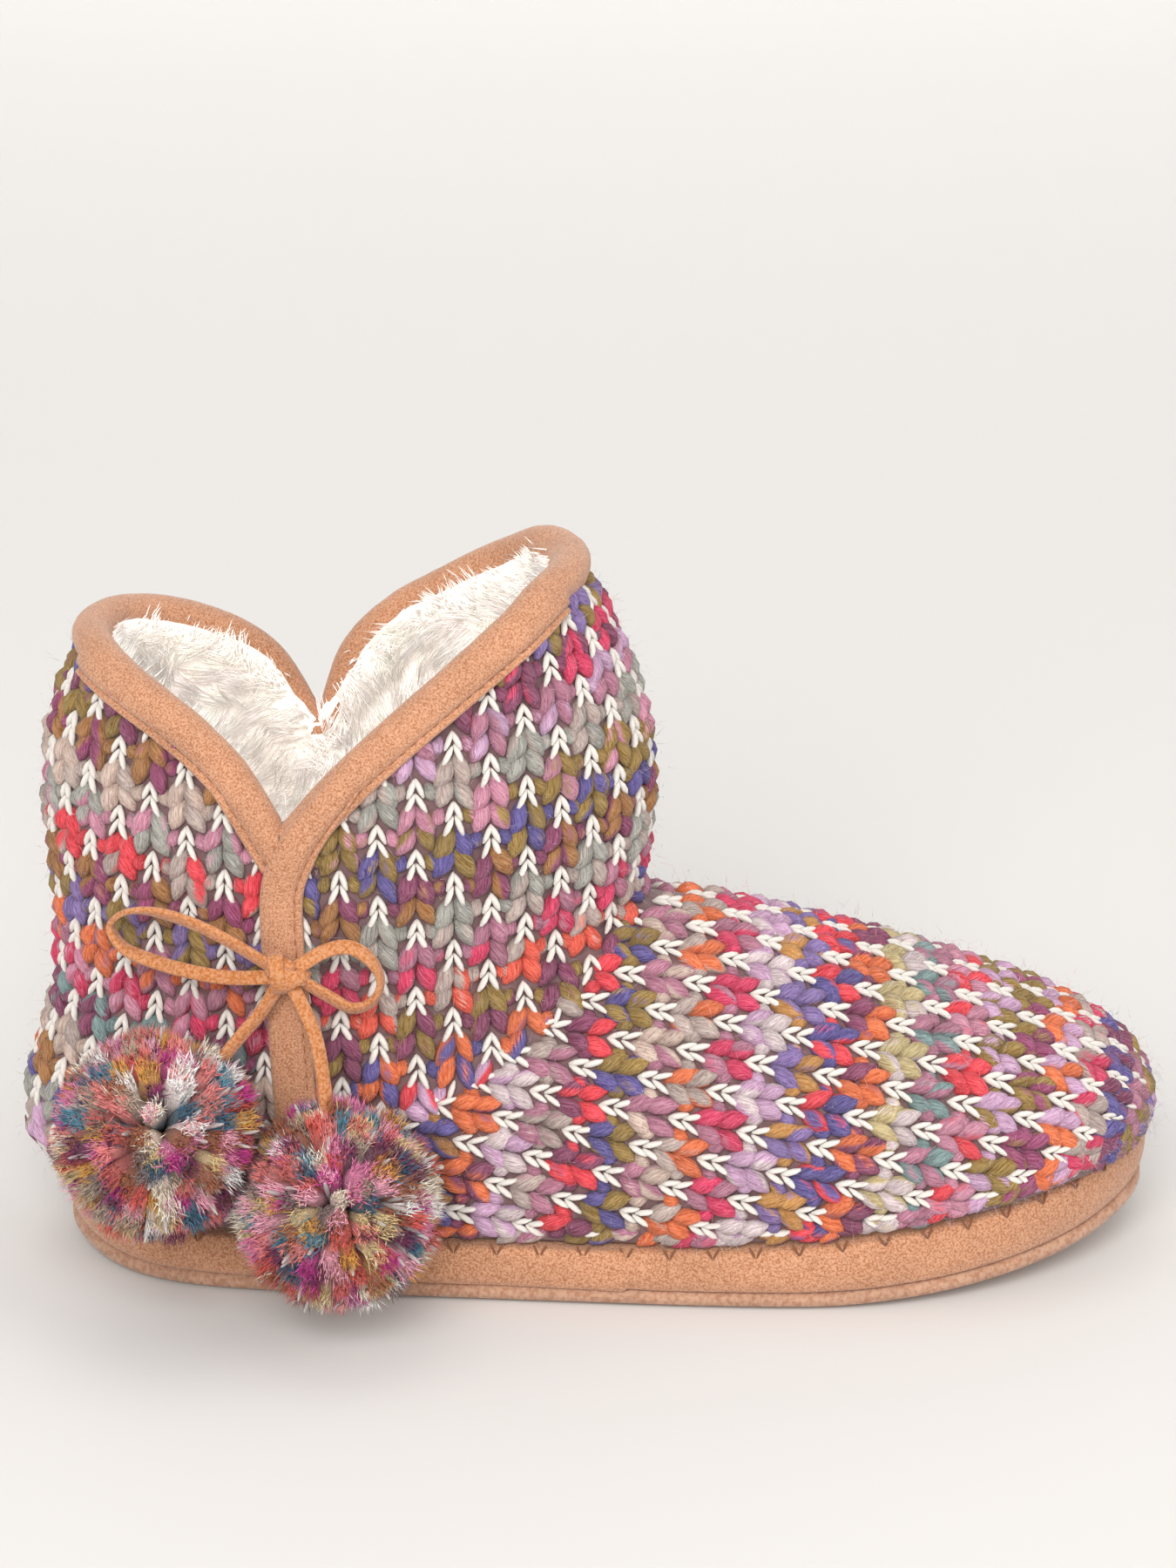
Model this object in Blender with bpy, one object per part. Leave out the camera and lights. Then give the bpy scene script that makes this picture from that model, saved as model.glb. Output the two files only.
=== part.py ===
"""Knit slipper boot: right shoe, knit shell on a suede-wrapped sole, bound collar, bow and pompoms.

The toe points along +X, the lateral side is -Y, the floor is z = 0.
Tables and sizes are in millimetres; solid() writes every mesh in metres.
"""

import math
import random

import bmesh
import bpy
import numpy as np
from mathutils import Vector
from mathutils.bvhtree import BVHTree

MM = 0.001

# Fits and walls
GAP = 0.35
WALL = 5.0
OUTSOLE_THICK = 2.6
OUTSOLE_INSET = 3.4
INSOLE_THICK = 4.0
INSOLE_INSET = 8.2
KNIT_INSET = 1.0

# Collar binding
BINDING_THICK = 1.5
BINDING_RISE = 2.6
BINDING_DEPTH = 8.5
BINDING_MITRE_GAP = 0.3

# Side strips
STRIP_WIDTH = 9.5
STRIP_THICK = 1.3
STRIP_LEAN = 0.05
STRIP_BELOW_NOTCH = 21.0

# Lace, knot and pompoms
LACE_DIAMETER = 2.8
SEAT_EXTRA = 0.10
KNOT_SIZE = (9.0, 6.4, 9.5)
KNOT_Z = 83.0
POMPOM_CORE = 17.5
POMPOM_SEAT = 20.5
POMPOM_LOCKS = (22.5, 26.0)
POMPOM_CELLS = 4
POMPOM_SEED = 11

# Mesh steps
SIDE_COLUMNS = 18
NOTCH_COLUMN = 10
SHAFT_RINGS = 7
SOLE_STATIONS = 30

# Sole outline: half-widths each side of the midline, heel to toe.
SOLE_OUTLINE = [
    # x, lateral, medial
    (-122.0, 0.0, 0.0),
    (-118.5, 12.5, 12.5),
    (-112.0, 22.0, 22.0),
    (-103.0, 30.0, 29.5),
    (-90.0, 35.5, 34.5),
    (-72.0, 38.5, 36.0),
    (-40.0, 41.5, 36.5),
    (-5.0, 44.5, 38.5),
    (28.0, 47.0, 43.0),
    (55.0, 47.5, 46.0),
    (78.0, 44.5, 46.5),
    (98.0, 37.0, 42.5),
    (113.0, 27.0, 34.5),
    (123.0, 16.0, 24.0),
    (129.0, 5.0, 13.5),
    (130.5, -4.0, 4.0),
]

# Sole seen from the side: underside and top of the suede band.
SOLE_LINES = [
    # x, bottom, band_top
    (-123.0, 6.0, 15.5),
    (-117.0, 2.6, 15.2),
    (-108.0, 0.4, 15.0),
    (-102.0, 0.0, 15.0),
    (-60.0, 0.0, 15.0),
    (0.0, 0.0, 15.0),
    (30.0, 0.0, 15.6),
    (52.0, 0.0, 17.2),
    (75.0, 1.6, 19.6),
    (95.0, 4.0, 22.0),
    (112.0, 7.0, 24.8),
    (124.0, 10.4, 26.8),
    (131.0, 13.2, 27.2),
]

# Side of the suede band: share of its height, inset from the outline.
BAND_PROFILE = [
    # height, inset
    (0.0, 3.2),
    (0.10, 1.4),
    (0.30, 0.3),
    (0.60, 0.0),
    (0.86, 0.5),
    (1.0, 1.9),
]

# Arches of the knit, toe to heel: crown on the midline, foot on the band, swell beyond the band.
ARCHES = [
    # crown_x, crown_z, foot_x, lateral, medial, widest, crown_power
    (129.6, 27.5, 116.0, 0.0, 0.0, 1.00, 2.0),
    (131.8, 33.5, 108.0, 1.0, 1.0, 0.96, 2.0),
    (130.0, 40.5, 99.0, 1.6, 1.6, 0.92, 2.0),
    (124.6, 47.5, 91.0, 2.0, 2.0, 0.89, 2.0),
    (115.2, 54.0, 83.0, 2.3, 2.3, 0.86, 2.0),
    (102.0, 60.0, 73.0, 2.5, 2.5, 0.84, 2.0),
    (86.0, 66.4, 61.0, 2.6, 2.6, 0.82, 2.0),
    (69.0, 72.2, 48.0, 2.6, 2.6, 0.80, 2.0),
    (52.0, 77.0, 34.0, 2.6, 3.0, 0.79, 2.0),
    (36.0, 81.4, 20.0, 2.8, 3.4, 0.78, 2.0),
    (24.0, 84.2, 6.0, 2.8, 3.8, 0.77, 2.0),
    (17.2, 85.4, -9.0, 2.6, 4.2, 0.76, 2.0),
    (14.8, 85.7, -27.0, 2.8, 4.6, 0.75, 2.0),
    (14.1, 86.0, -47.0, 3.2, 5.0, 0.72, 2.0),
    (14.0, 86.3, -66.0, 4.4, 5.6, 0.69, 2.0),
    (14.0, 86.6, -84.0, 6.8, 7.4, 0.65, 2.0),
    (14.0, 87.0, -99.0, 11.2, 11.4, 0.62, 2.0),
    (14.0, 87.4, -110.0, 19.2, 19.2, 0.60, 2.0),
    (14.0, 87.8, -117.0, 28.6, 28.6, 0.585, 2.0),
    (14.0, 88.2, -121.0, 43.0, 43.0, 0.575, 2.0),
]

# Rings round the heel and ankle, from the band up to the shaft.
RINGS = [
    # crown_x, crown_z, back_x, back_z, lateral, medial, widest
    (14.0, 89.0, -129.6, 22.0, 43.0, 43.0, 0.56),
    (14.2, 90.4, -132.2, 30.5, 43.0, 43.0, 0.55),
    (14.5, 92.2, -130.0, 43.0, 43.0, 43.0, 0.54),
    (14.8, 94.4, -125.8, 55.0, 43.0, 43.0, 0.53),
    (15.2, 97.0, -122.8, 67.0, 43.2, 43.2, 0.52),
    (15.5, 99.4, -122.8, 79.0, 43.4, 43.4, 0.51),
    (15.8, 101.6, -123.4, 91.0, 43.5, 43.5, 0.50),
]

# Shaft seen from the side and its half-width, by height.
SHAFT = [
    # z, front, back, half_width
    (85.0, 14.6, -123.2, 43.4),
    (105.0, 15.9, -124.4, 43.6),
    (118.0, 15.8, -124.4, 43.7),
    (131.0, 13.8, -121.6, 43.5),
    (141.0, 10.2, -117.6, 43.0),
    (151.0, 5.8, -112.6, 42.4),
    (160.0, 1.2, -109.0, 41.6),
    (170.0, -5.2, -106.0, 40.6),
]

# Crest of the collar binding: two flaps with a notch between them on each side.
CREST_LATERAL = [
    # x, z
    (-125.0, 150.8),
    (-113.0, 150.0),
    (-105.0, 147.2),
    (-93.0, 141.4),
    (-79.5, 131.0),
    (-68.0, 113.0),
    (-57.0, 126.0),
    (-46.0, 136.6),
    (-34.0, 146.6),
    (-16.0, 159.6),
    (-5.0, 166.0),
    (5.0, 167.0),
]
CREST_MEDIAL = [
    # x, z
    (-125.0, 150.8),
    (-113.0, 150.0),
    (-104.0, 147.4),
    (-90.0, 141.6),
    (-75.0, 131.6),
    (-62.0, 109.0),
    (-55.5, 130.0),
    (-45.0, 141.4),
    (-32.0, 149.6),
    (-16.0, 159.6),
    (-5.0, 166.0),
    (5.0, 167.0),
]
NOTCH_LATERAL = (-68.0, 113.0)
NOTCH_MEDIAL = (-62.0, 109.0)

# Lace: routes in the side view, with the clear space kept from the knit.
LOOP_REAR = [
    # x, z, off
    (-72.8, 85.2, 5.0),
    (-80.0, 90.2, 6.0),
    (-89.0, 94.0, 7.0),
    (-97.5, 95.0, 7.5),
    (-103.6, 93.0, 7.5),
    (-106.4, 89.2, 7.5),
    (-103.8, 85.2, 7.5),
    (-97.5, 83.4, 7.5),
    (-88.0, 82.0, 7.0),
    (-79.5, 81.2, 6.0),
    (-72.8, 81.2, 5.0),
]
LOOP_FRONT = [
    # x, z, off
    (-61.4, 85.2, 5.0),
    (-57.6, 88.8, 6.0),
    (-52.6, 89.8, 6.5),
    (-48.0, 86.6, 6.5),
    (-45.8, 81.6, 6.5),
    (-47.6, 76.6, 6.5),
    (-52.0, 75.0, 6.5),
    (-57.0, 77.6, 6.0),
    (-61.4, 81.0, 5.0),
]
TAIL_REAR = [
    # x, z, off
    (-70.2, 76.9, 6.0),
    (-73.0, 73.2, 7.0),
    (-76.4, 69.6, 9.0),
    (-79.6, 66.4, 11.5),
]
TAIL_FRONT = [
    # x, z, off
    (-63.6, 76.9, 6.0),
    (-61.4, 72.0, 8.0),
    (-59.6, 67.0, 11.0),
    (-58.4, 62.6, 14.5),
]
POMPOMS = [
    # name, x, z
    ("pompom_rear", -95.0, 49.0),
    ("pompom_front", -55.5, 34.0),
]

COLOURS = {
    "outsole": (0.130, 0.060, 0.032),
    "midsole": (0.560, 0.300, 0.140),
    "insole": (0.800, 0.760, 0.690),
    "upper": (0.300, 0.160, 0.150),
    "suede": (0.560, 0.300, 0.140),
    "lace": (0.600, 0.270, 0.080),
    "pompom_rear": (0.420, 0.250, 0.180),
    "pompom_front": (0.480, 0.330, 0.220),
}
ROUGHNESS = 0.9


def clear_scene():
    for obj in list(bpy.data.objects):
        bpy.data.objects.remove(obj, do_unlink=True)


def material(name, colour):
    mat = bpy.data.materials.new(name)
    mat.use_nodes = True
    shader = mat.node_tree.nodes["Principled BSDF"]
    shader.inputs["Base Color"].default_value = (*colour, 1.0)
    shader.inputs["Roughness"].default_value = ROUGHNESS
    return mat


def solid(name, points, faces, colour):
    """A closed mesh object from points in millimetres."""
    mesh = bpy.data.meshes.new(name)
    mesh.from_pydata([Vector(p) * MM for p in points], [], faces)
    bm = bmesh.new()
    bm.from_mesh(mesh)
    bmesh.ops.recalc_face_normals(bm, faces=bm.faces)
    bm.to_mesh(mesh)
    bm.free()
    obj = bpy.data.objects.new(name, mesh)
    obj.data.materials.append(material(name, colour))
    bpy.context.scene.collection.objects.link(obj)
    return obj


def column(table, index):
    return np.array([row[index] for row in table], float)


def smooth(xs, ys, at):
    """Monotone cubic curve through a table's points."""
    xs, ys = np.asarray(xs, float), np.asarray(ys, float)
    step = np.diff(xs)
    slope = np.diff(ys) / step
    tangent = np.zeros(len(xs))
    tangent[0], tangent[-1] = slope[0], slope[-1]
    for i in range(1, len(xs) - 1):
        if slope[i - 1] * slope[i] > 0:
            w0 = 2 * step[i] + step[i - 1]
            w1 = step[i] + 2 * step[i - 1]
            tangent[i] = (w0 + w1) / (w0 / slope[i - 1] + w1 / slope[i])
    at = np.clip(np.asarray(at, float), xs[0], xs[-1])
    i = np.clip(np.searchsorted(xs, at) - 1, 0, len(xs) - 2)
    t = (at - xs[i]) / step[i]
    h00 = (1 + 2 * t) * (1 - t) ** 2
    h10 = t * (1 - t) ** 2
    h01 = t * t * (3 - 2 * t)
    h11 = t * t * (t - 1)
    return h00 * ys[i] + h10 * step[i] * tangent[i] + h01 * ys[i + 1] + h11 * step[i] * tangent[i + 1]


def spline(points, per_span):
    """Points along a centripetal curve through the given points."""
    pts = [np.array(p, float) for p in points]
    pts = [2 * pts[0] - pts[1]] + pts + [2 * pts[-1] - pts[-2]]
    line = []
    for i in range(1, len(pts) - 2):
        p0, p1, p2, p3 = pts[i - 1 : i + 3]
        t0 = 0.0
        t1 = t0 + math.sqrt(np.linalg.norm(p1 - p0))
        t2 = t1 + math.sqrt(np.linalg.norm(p2 - p1))
        t3 = t2 + math.sqrt(np.linalg.norm(p3 - p2))
        for k in range(per_span):
            t = t1 + (t2 - t1) * k / per_span
            a1 = (t1 - t) / (t1 - t0) * p0 + (t - t0) / (t1 - t0) * p1
            a2 = (t2 - t) / (t2 - t1) * p1 + (t - t1) / (t2 - t1) * p2
            a3 = (t3 - t) / (t3 - t2) * p2 + (t - t2) / (t3 - t2) * p3
            b1 = (t2 - t) / (t2 - t0) * a1 + (t - t0) / (t2 - t0) * a2
            b2 = (t3 - t) / (t3 - t1) * a2 + (t - t1) / (t3 - t1) * a3
            line.append((t2 - t) / (t2 - t1) * b1 + (t - t1) / (t2 - t1) * b2)
    line.append(pts[-2])
    return np.array(line)


def even(line, count):
    """The line again as points at equal distances along it."""
    far = np.concatenate([[0], np.cumsum(np.linalg.norm(np.diff(line, axis=0), axis=1))])
    want = np.linspace(0, far[-1], count)
    return np.stack([np.interp(want, far, line[:, k]) for k in range(line.shape[1])], axis=1)


# Sole

LATERAL_EDGE = spline([(x, -lateral) for x, lateral, medial in SOLE_OUTLINE], 12)
MEDIAL_EDGE = spline([(x, medial) for x, lateral, medial in SOLE_OUTLINE], 12)


def bottom_z(x):
    return smooth(column(SOLE_LINES, 0), column(SOLE_LINES, 1), x)


def band_z(x):
    return smooth(column(SOLE_LINES, 0), column(SOLE_LINES, 2), x)


def edge_y(edge, x):
    return float(np.interp(x, edge[:, 0], edge[:, 1]))


def outline(inset):
    """Lateral and medial edges of the sole, paired by station, moved in by the inset."""
    sides = []
    for edge, sign in ((LATERAL_EDGE, -1), (MEDIAL_EDGE, 1)):
        pts = even(edge, SOLE_STATIONS + 1)
        along = np.gradient(pts, axis=0)
        along[0] = (0, sign)
        along[-1] = (0, -sign)
        along /= np.linalg.norm(along, axis=1)[:, None]
        inward = np.stack([along[:, 1], -along[:, 0]], axis=1) * sign
        sides.append(pts + inward * inset)
    lateral, medial = sides
    tip = (lateral[-1] + medial[-1]) / 2
    lateral[-1], medial[-1] = tip, tip
    lateral[0] = medial[0] = (lateral[0] + medial[0]) / 2
    return lateral, medial


def slab(name, levels, colour):
    """A sole layer: levels are (inset, height function) from the underside up."""
    n = SOLE_STATIONS
    points, loops = [], []
    for inset, height in levels:
        lateral, medial = outline(inset)
        loop = []
        for p in list(lateral) + list(medial[n - 1 : 0 : -1]):
            loop.append(len(points))
            points.append((p[0], p[1], float(height(p[0]))))
        loops.append(loop)
    count = 2 * n
    faces = []
    for low, high in zip(loops, loops[1:]):
        for i in range(count):
            j = (i + 1) % count
            faces.append((low[i], low[j], high[j], high[i]))
    for loop, flip in ((loops[0], True), (loops[-1], False)):
        for i in range(n):
            far = [(count - i) % count, (count - i - 1) % count]
            face = [loop[i], loop[i + 1], loop[far[1]], loop[far[0]]]
            face = list(dict.fromkeys(face))
            faces.append(tuple(reversed(face)) if flip else tuple(face))
    return solid(name, points, faces, colour)


def build_sole():
    slab(
        "outsole",
        [
            (OUTSOLE_INSET + 1.0, bottom_z),
            (OUTSOLE_INSET, lambda x: bottom_z(x) + 0.8),
            (OUTSOLE_INSET, lambda x: bottom_z(x) + OUTSOLE_THICK),
        ],
        COLOURS["outsole"],
    )

    def level(share):
        def height(x):
            low = bottom_z(x) + OUTSOLE_THICK + GAP
            return low + (band_z(x) - low) * share

        return height

    slab("midsole", [(inset, level(share)) for share, inset in BAND_PROFILE], COLOURS["midsole"])
    slab(
        "insole",
        [
            (INSOLE_INSET, lambda x: band_z(x) + GAP),
            (INSOLE_INSET, lambda x: band_z(x) + GAP + 0.7 * INSOLE_THICK),
            (INSOLE_INSET + 1.2, lambda x: band_z(x) + GAP + INSOLE_THICK),
        ],
        COLOURS["insole"],
    )


# Upper


def arch_row(row):
    """Outer points of one arch, from the lateral foot over the crown to the medial foot."""
    crown_x, crown_z, foot_x, lateral, medial, widest, power = row
    feet = (edge_y(LATERAL_EDGE, foot_x) + KNIT_INSET, edge_y(MEDIAL_EDGE, foot_x) - KNIT_INSET)
    if feet[0] >= feet[1] or lateral > 40:
        feet = (0.0, 0.0)
    crown_y = (edge_y(LATERAL_EDGE, foot_x) + edge_y(MEDIAL_EDGE, foot_x)) / 2
    crown = np.array([crown_x, crown_y, crown_z])
    foot_z = float(band_z(foot_x)) + GAP
    sides = []
    for foot_y, swell, sign in ((feet[0], lateral, -1), (feet[1], medial, 1)):
        foot_half = abs(foot_y - crown_y)
        half = foot_half + swell
        angle = np.linspace(0, 1, 60) * math.pi / 2
        s_top = widest * (1 - np.cos(angle) ** (2 / power))
        y_top = half * np.sin(angle) ** (2 / power)
        low = angle[1:]
        s_low = widest + (1 - widest) * np.sin(low)
        y_low = foot_half + (half - foot_half) * np.cos(low)
        if widest >= 1:
            s, y = s_top, y_top
        else:
            s, y = np.concatenate([s_top, s_low]), np.concatenate([y_top, y_low])
        side = np.stack(
            [
                crown_x + (foot_x - crown_x) * s,
                crown_y + sign * y,
                crown_z + (foot_z - crown_z) * s,
            ],
            axis=1,
        )
        side[0] = crown
        sides.append(even(side, SIDE_COLUMNS + 1))
    return np.concatenate([sides[0][::-1], sides[1][1:]])


def ring_row(row):
    """Outer points of one closed ring, from the back round the lateral side and the front."""
    crown_x, crown_z, back_x, back_z, lateral, medial, widest = row
    sides = []
    for half, sign in ((lateral, -1), (medial, 1)):
        angle = np.linspace(0, 1, 60) * math.pi / 2
        s = np.concatenate([widest * (1 - np.cos(angle)), widest + (1 - widest) * np.sin(angle[1:])])
        y = np.concatenate([half * np.sin(angle), half * np.cos(angle[1:])])
        side = np.stack([crown_x + (back_x - crown_x) * s, sign * y, crown_z + (back_z - crown_z) * s], axis=1)
        sides.append(even(side, SIDE_COLUMNS + 1))
    return np.concatenate([sides[0][::-1], sides[1][1:]])


def shaft_size(z):
    return [float(smooth(column(SHAFT, 0), column(SHAFT, k), z)) for k in (1, 2, 3)]


def shaft_point(angle, sign, z):
    front, back, half = shaft_size(z)
    middle, reach = (front + back) / 2, (front - back) / 2
    return np.array([middle + reach * math.cos(angle), sign * half * math.sin(angle), z])


def wall_top(x, crest):
    return float(np.interp(x, column(crest, 0), column(crest, 1))) - BINDING_RISE


def crest_line(crest):
    """The collar crest with its two flaps as smooth curves that meet at the notch."""
    deep = int(np.argmin(column(crest, 1)))
    rear, front = crest[: deep + 1], crest[deep:]
    line = []
    for part in (rear, front):
        xs = np.linspace(part[0][0], part[-1][0], 40)
        line += list(zip(xs, smooth(column(part, 0), column(part, 1), xs)))
    return line


def shaft_row(share, base):
    """Ring of the shaft at a share of the way from the base ring to the collar."""
    sides = []
    for sign, crest, notch in ((-1, CREST_LINES[0], NOTCH_LATERAL), (1, CREST_LINES[1], NOTCH_MEDIAL)):
        front, back, half = shaft_size(notch[1] - BINDING_RISE)
        notch_angle = math.acos((notch[0] - (front + back) / 2) / ((front - back) / 2))
        side = []
        for i in range(SIDE_COLUMNS + 1):
            if i <= NOTCH_COLUMN:
                angle = notch_angle * i / NOTCH_COLUMN
            else:
                angle = notch_angle + (math.pi - notch_angle) * (i - NOTCH_COLUMN) / (SIDE_COLUMNS - NOTCH_COLUMN)
            low = base[SIDE_COLUMNS + sign * i]
            z = low[2]
            for _ in range(12):
                point = shaft_point(angle, sign, z)
                top = wall_top(notch[0] if i == NOTCH_COLUMN else point[0], crest)
                z = 0.5 * z + 0.5 * (low[2] + share * (top - low[2]))
            side.append(shaft_point(angle, sign, z))
        sides.append(np.array(side))
    return np.concatenate([sides[0][::-1], sides[1][1:]])


CREST_LINES = (crest_line(CREST_LATERAL), crest_line(CREST_MEDIAL))


def upper_rows():
    arches = [arch_row(row) for row in ARCHES]
    rings = [ring_row(row) for row in RINGS]
    shaft = []
    for k in range(1, SHAFT_RINGS + 1):
        shaft.append(shaft_row(k / SHAFT_RINGS, rings[-1]))
    return arches, rings + shaft


def build_upper():
    """Knit shell: an outer skin from the rows, an inner skin one wall inside, joined at the edges."""
    arches, rings = upper_rows()
    arches, rings = arches[:-1], [arches[-1]] + rings
    across = 2 * SIDE_COLUMNS
    points, index = [], []
    for row in arches:
        index.append([len(points) + j for j in range(across + 1)])
        points += list(row)
    for row in rings:
        ids = [len(points) + j for j in range(across)]
        index.append(ids + ids[:1])
        points += list(row[:across])
    points = np.array(points)
    quads = []
    for low, high in zip(index, index[1:]):
        for j in range(across):
            quads.append((low[j], low[j + 1], high[j + 1], high[j]))
    normals = np.zeros_like(points)
    for a, b, c, d in quads:
        n = np.cross(points[c] - points[a], points[d] - points[b])
        for i in (a, b, c, d):
            normals[i] += n
    normals /= np.linalg.norm(normals, axis=1)[:, None]
    middle = points.mean(axis=0)
    if ((points - middle) * normals).sum() < 0:
        normals = -normals
    inner = points - WALL * normals
    foot = set(index[0])
    for ids in index[: len(arches)]:
        foot |= {ids[0], ids[across]}
    foot.add(index[len(arches)][0])
    for i in foot:
        points[i][2] = float(band_z(points[i][0])) + GAP
        inner[i][2] = float(band_z(inner[i][0])) + GAP
    count = len(points)
    edges = {}
    for quad in quads:
        for a, b in zip(quad, quad[1:] + quad[:1]):
            edges[(a, b)] = True
    faces = list(quads)
    faces += [tuple(count + i for i in reversed(quad)) for quad in quads]
    for a, b in edges:
        if (b, a) not in edges:
            faces.append((b, a, count + a, count + b))
    obj = solid("upper", list(points) + list(inner), faces, COLOURS["upper"])
    collar = index[-1][:across]
    return obj, points[collar], inner[collar]


# Pieces that follow the knit


def surface(obj):
    mesh = obj.data
    return BVHTree.FromPolygons([v.co / MM for v in mesh.vertices], [tuple(p.vertices) for p in mesh.polygons])


def side_point(tree, x, z, sign):
    """Place and outward direction on the outer face of the knit, seen from one side."""
    place, normal, _, _ = tree.ray_cast(Vector((x, sign * 200.0, z)), Vector((0, -sign, 0)))
    return place, normal


def swept(name, sections, colour):
    """A solid through closed sections with flat ends."""
    n = len(sections[0])
    points = [p for section in sections for p in section]
    faces = []
    for k in range(len(sections) - 1):
        for i in range(n):
            j = (i + 1) % n
            faces.append((k * n + i, k * n + j, (k + 1) * n + j, (k + 1) * n + i))
    faces.append(tuple(reversed(range(n))))
    faces.append(tuple(range(len(points) - n, len(points))))
    return solid(name, points, faces, colour)


def binding(name, tree, outer, inner, columns, colour):
    """Rolled edge: a channel over the collar, mitred where the two flaps meet at the notches."""
    half = WALL / 2 + GAP
    sections = []
    last = len(columns) - 1
    for k, j in enumerate(columns):
        before, after = columns[max(k - 1, 0)], columns[min(k + 1, last)]
        along = outer[after] - outer[before]
        along /= np.linalg.norm(along)
        out = outer[j] - inner[j]
        out /= np.linalg.norm(out)
        down = np.cross(along, out)
        down -= out * np.dot(down, out)
        down /= np.linalg.norm(down)
        if down[2] > 0:
            down = -down
        edge = (outer[j] + inner[j]) / 2
        mitre = None
        if k in (0, last):
            side = 1 if name == "binding_front" else -1
            mitre = outer[j][0] + side * BINDING_MITRE_GAP / 2

        def at_mitre(p):
            if mitre is None:
                return p
            return p + along * ((mitre - p[0]) / along[0])

        def leg(start, depth, off):
            p = at_mitre(start + down * depth)
            place, normal, _, _ = tree.find_nearest(Vector(p))
            if Vector(out * (1 if start is outer[j] else -1)).dot(normal) < 0.2:
                normal = Vector(out * (1 if start is outer[j] else -1))
            q = np.array(place + normal * off)
            if mitre is not None:
                q[0] = mitre
            return q

        def cap(across, rise):
            return at_mitre(edge + out * across - down * rise)

        roll = half + BINDING_THICK
        section = [
            leg(outer[j], BINDING_DEPTH, GAP),
            leg(outer[j], BINDING_DEPTH, GAP + 0.6 * BINDING_THICK),
            leg(outer[j], 0.55 * BINDING_DEPTH, GAP + 1.25 * BINDING_THICK),
            cap(roll, -0.8),
            cap(0.72 * roll, 0.70 * BINDING_RISE),
            cap(0.0, BINDING_RISE),
            cap(-0.72 * roll, 0.70 * BINDING_RISE),
            cap(-roll, -0.8),
            leg(inner[j], 0.55 * BINDING_DEPTH, GAP + 1.1 * BINDING_THICK),
            leg(inner[j], BINDING_DEPTH, GAP + 0.6 * BINDING_THICK),
            leg(inner[j], BINDING_DEPTH, GAP),
            leg(inner[j], 0.55 * BINDING_DEPTH, GAP),
            cap(-half, GAP),
            cap(half, GAP),
            leg(outer[j], 0.55 * BINDING_DEPTH, GAP),
        ]
        sections.append(section)
    return swept(name, sections, colour)


def side_strip(name, tree, notch, sign, colour):
    """Flat tape over a side seam, from under the notch down to the suede band."""
    top = notch[1] - STRIP_BELOW_NOTCH
    rows = 13
    across = 5
    sections = []
    for k in range(rows):
        under, over = [], []
        for i in range(across):
            x = notch[0] + STRIP_WIDTH * (i / (across - 1) - 0.5)
            low = float(band_z(x)) + 7.0
            z = top + (low - top) * k / (rows - 1)
            x += STRIP_LEAN * (top - z)
            place, normal = side_point(tree, x, z, sign)
            rise = STRIP_THICK * (0.45 if i in (0, across - 1) else 1.0)
            under.append(np.array(place + normal * GAP))
            over.append(np.array(place + normal * (GAP + rise)))
        sections.append(under + over[::-1])
    return swept(name, sections, colour)


def build_trim(upper, outer, inner):
    tree = surface(upper)
    n = SIDE_COLUMNS
    front = list(range(n - NOTCH_COLUMN, n + NOTCH_COLUMN + 1))
    rear = [j % (2 * n) for j in range(n + NOTCH_COLUMN, 3 * n - NOTCH_COLUMN + 1)]
    binding("binding_front", tree, outer, inner, front, COLOURS["suede"])
    binding("binding_rear", tree, outer, inner, rear, COLOURS["suede"])
    side_strip("side_strip_lateral", tree, NOTCH_LATERAL, -1, COLOURS["suede"])
    side_strip("side_strip_medial", tree, NOTCH_MEDIAL, 1, COLOURS["suede"])
    return tree


# Bow and pompoms


def seat(piece, start, centre):
    """Where a cord coming from start ends, just clear of a piece."""
    way = (Vector(centre) - Vector(start)).normalized()
    side = way.orthogonal().normalized()
    clear = []
    for k in range(13):
        turn = math.tau * k / 12
        off = (side * math.cos(turn) + way.cross(side) * math.sin(turn)) * LACE_DIAMETER / 2
        hit = piece.ray_cast(Vector(start) + off * (k > 0), way)
        if hit[0] is not None:
            clear.append(hit[3])
    return np.array(Vector(start) + way * (min(clear) - GAP - SEAT_EXTRA))


def lace(name, tree, route, first, last, colour):
    """Round cord through the route, off the knit by the route's clearance, seated at both ends."""
    guide = []
    for x, z, off in route:
        place, normal = side_point(tree, x, z, -1)
        guide.append((x, place.y - off, z))
    for end, inside, (piece, centre, share) in ((0, 1, first), (-1, -2, last)):
        aim = np.array(centre) + share * (np.array(guide[end]) - np.array(centre)) * (0, 0, 1)
        guide[end] = seat(piece, guide[inside], aim)
    line = spline(guide, 3)
    curve = bpy.data.curves.new(name, "CURVE")
    curve.dimensions = "3D"
    curve.bevel_depth = LACE_DIAMETER / 2 * MM
    curve.bevel_resolution = 2
    curve.use_fill_caps = True
    path = curve.splines.new("POLY")
    path.points.add(len(line) - 1)
    for point, place in zip(path.points, line):
        point.co = (*(Vector(place) * MM), 1.0)
    obj = bpy.data.objects.new(name, curve)
    obj.data.materials.append(material(name, colour))
    bpy.context.scene.collection.objects.link(obj)
    return obj


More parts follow.
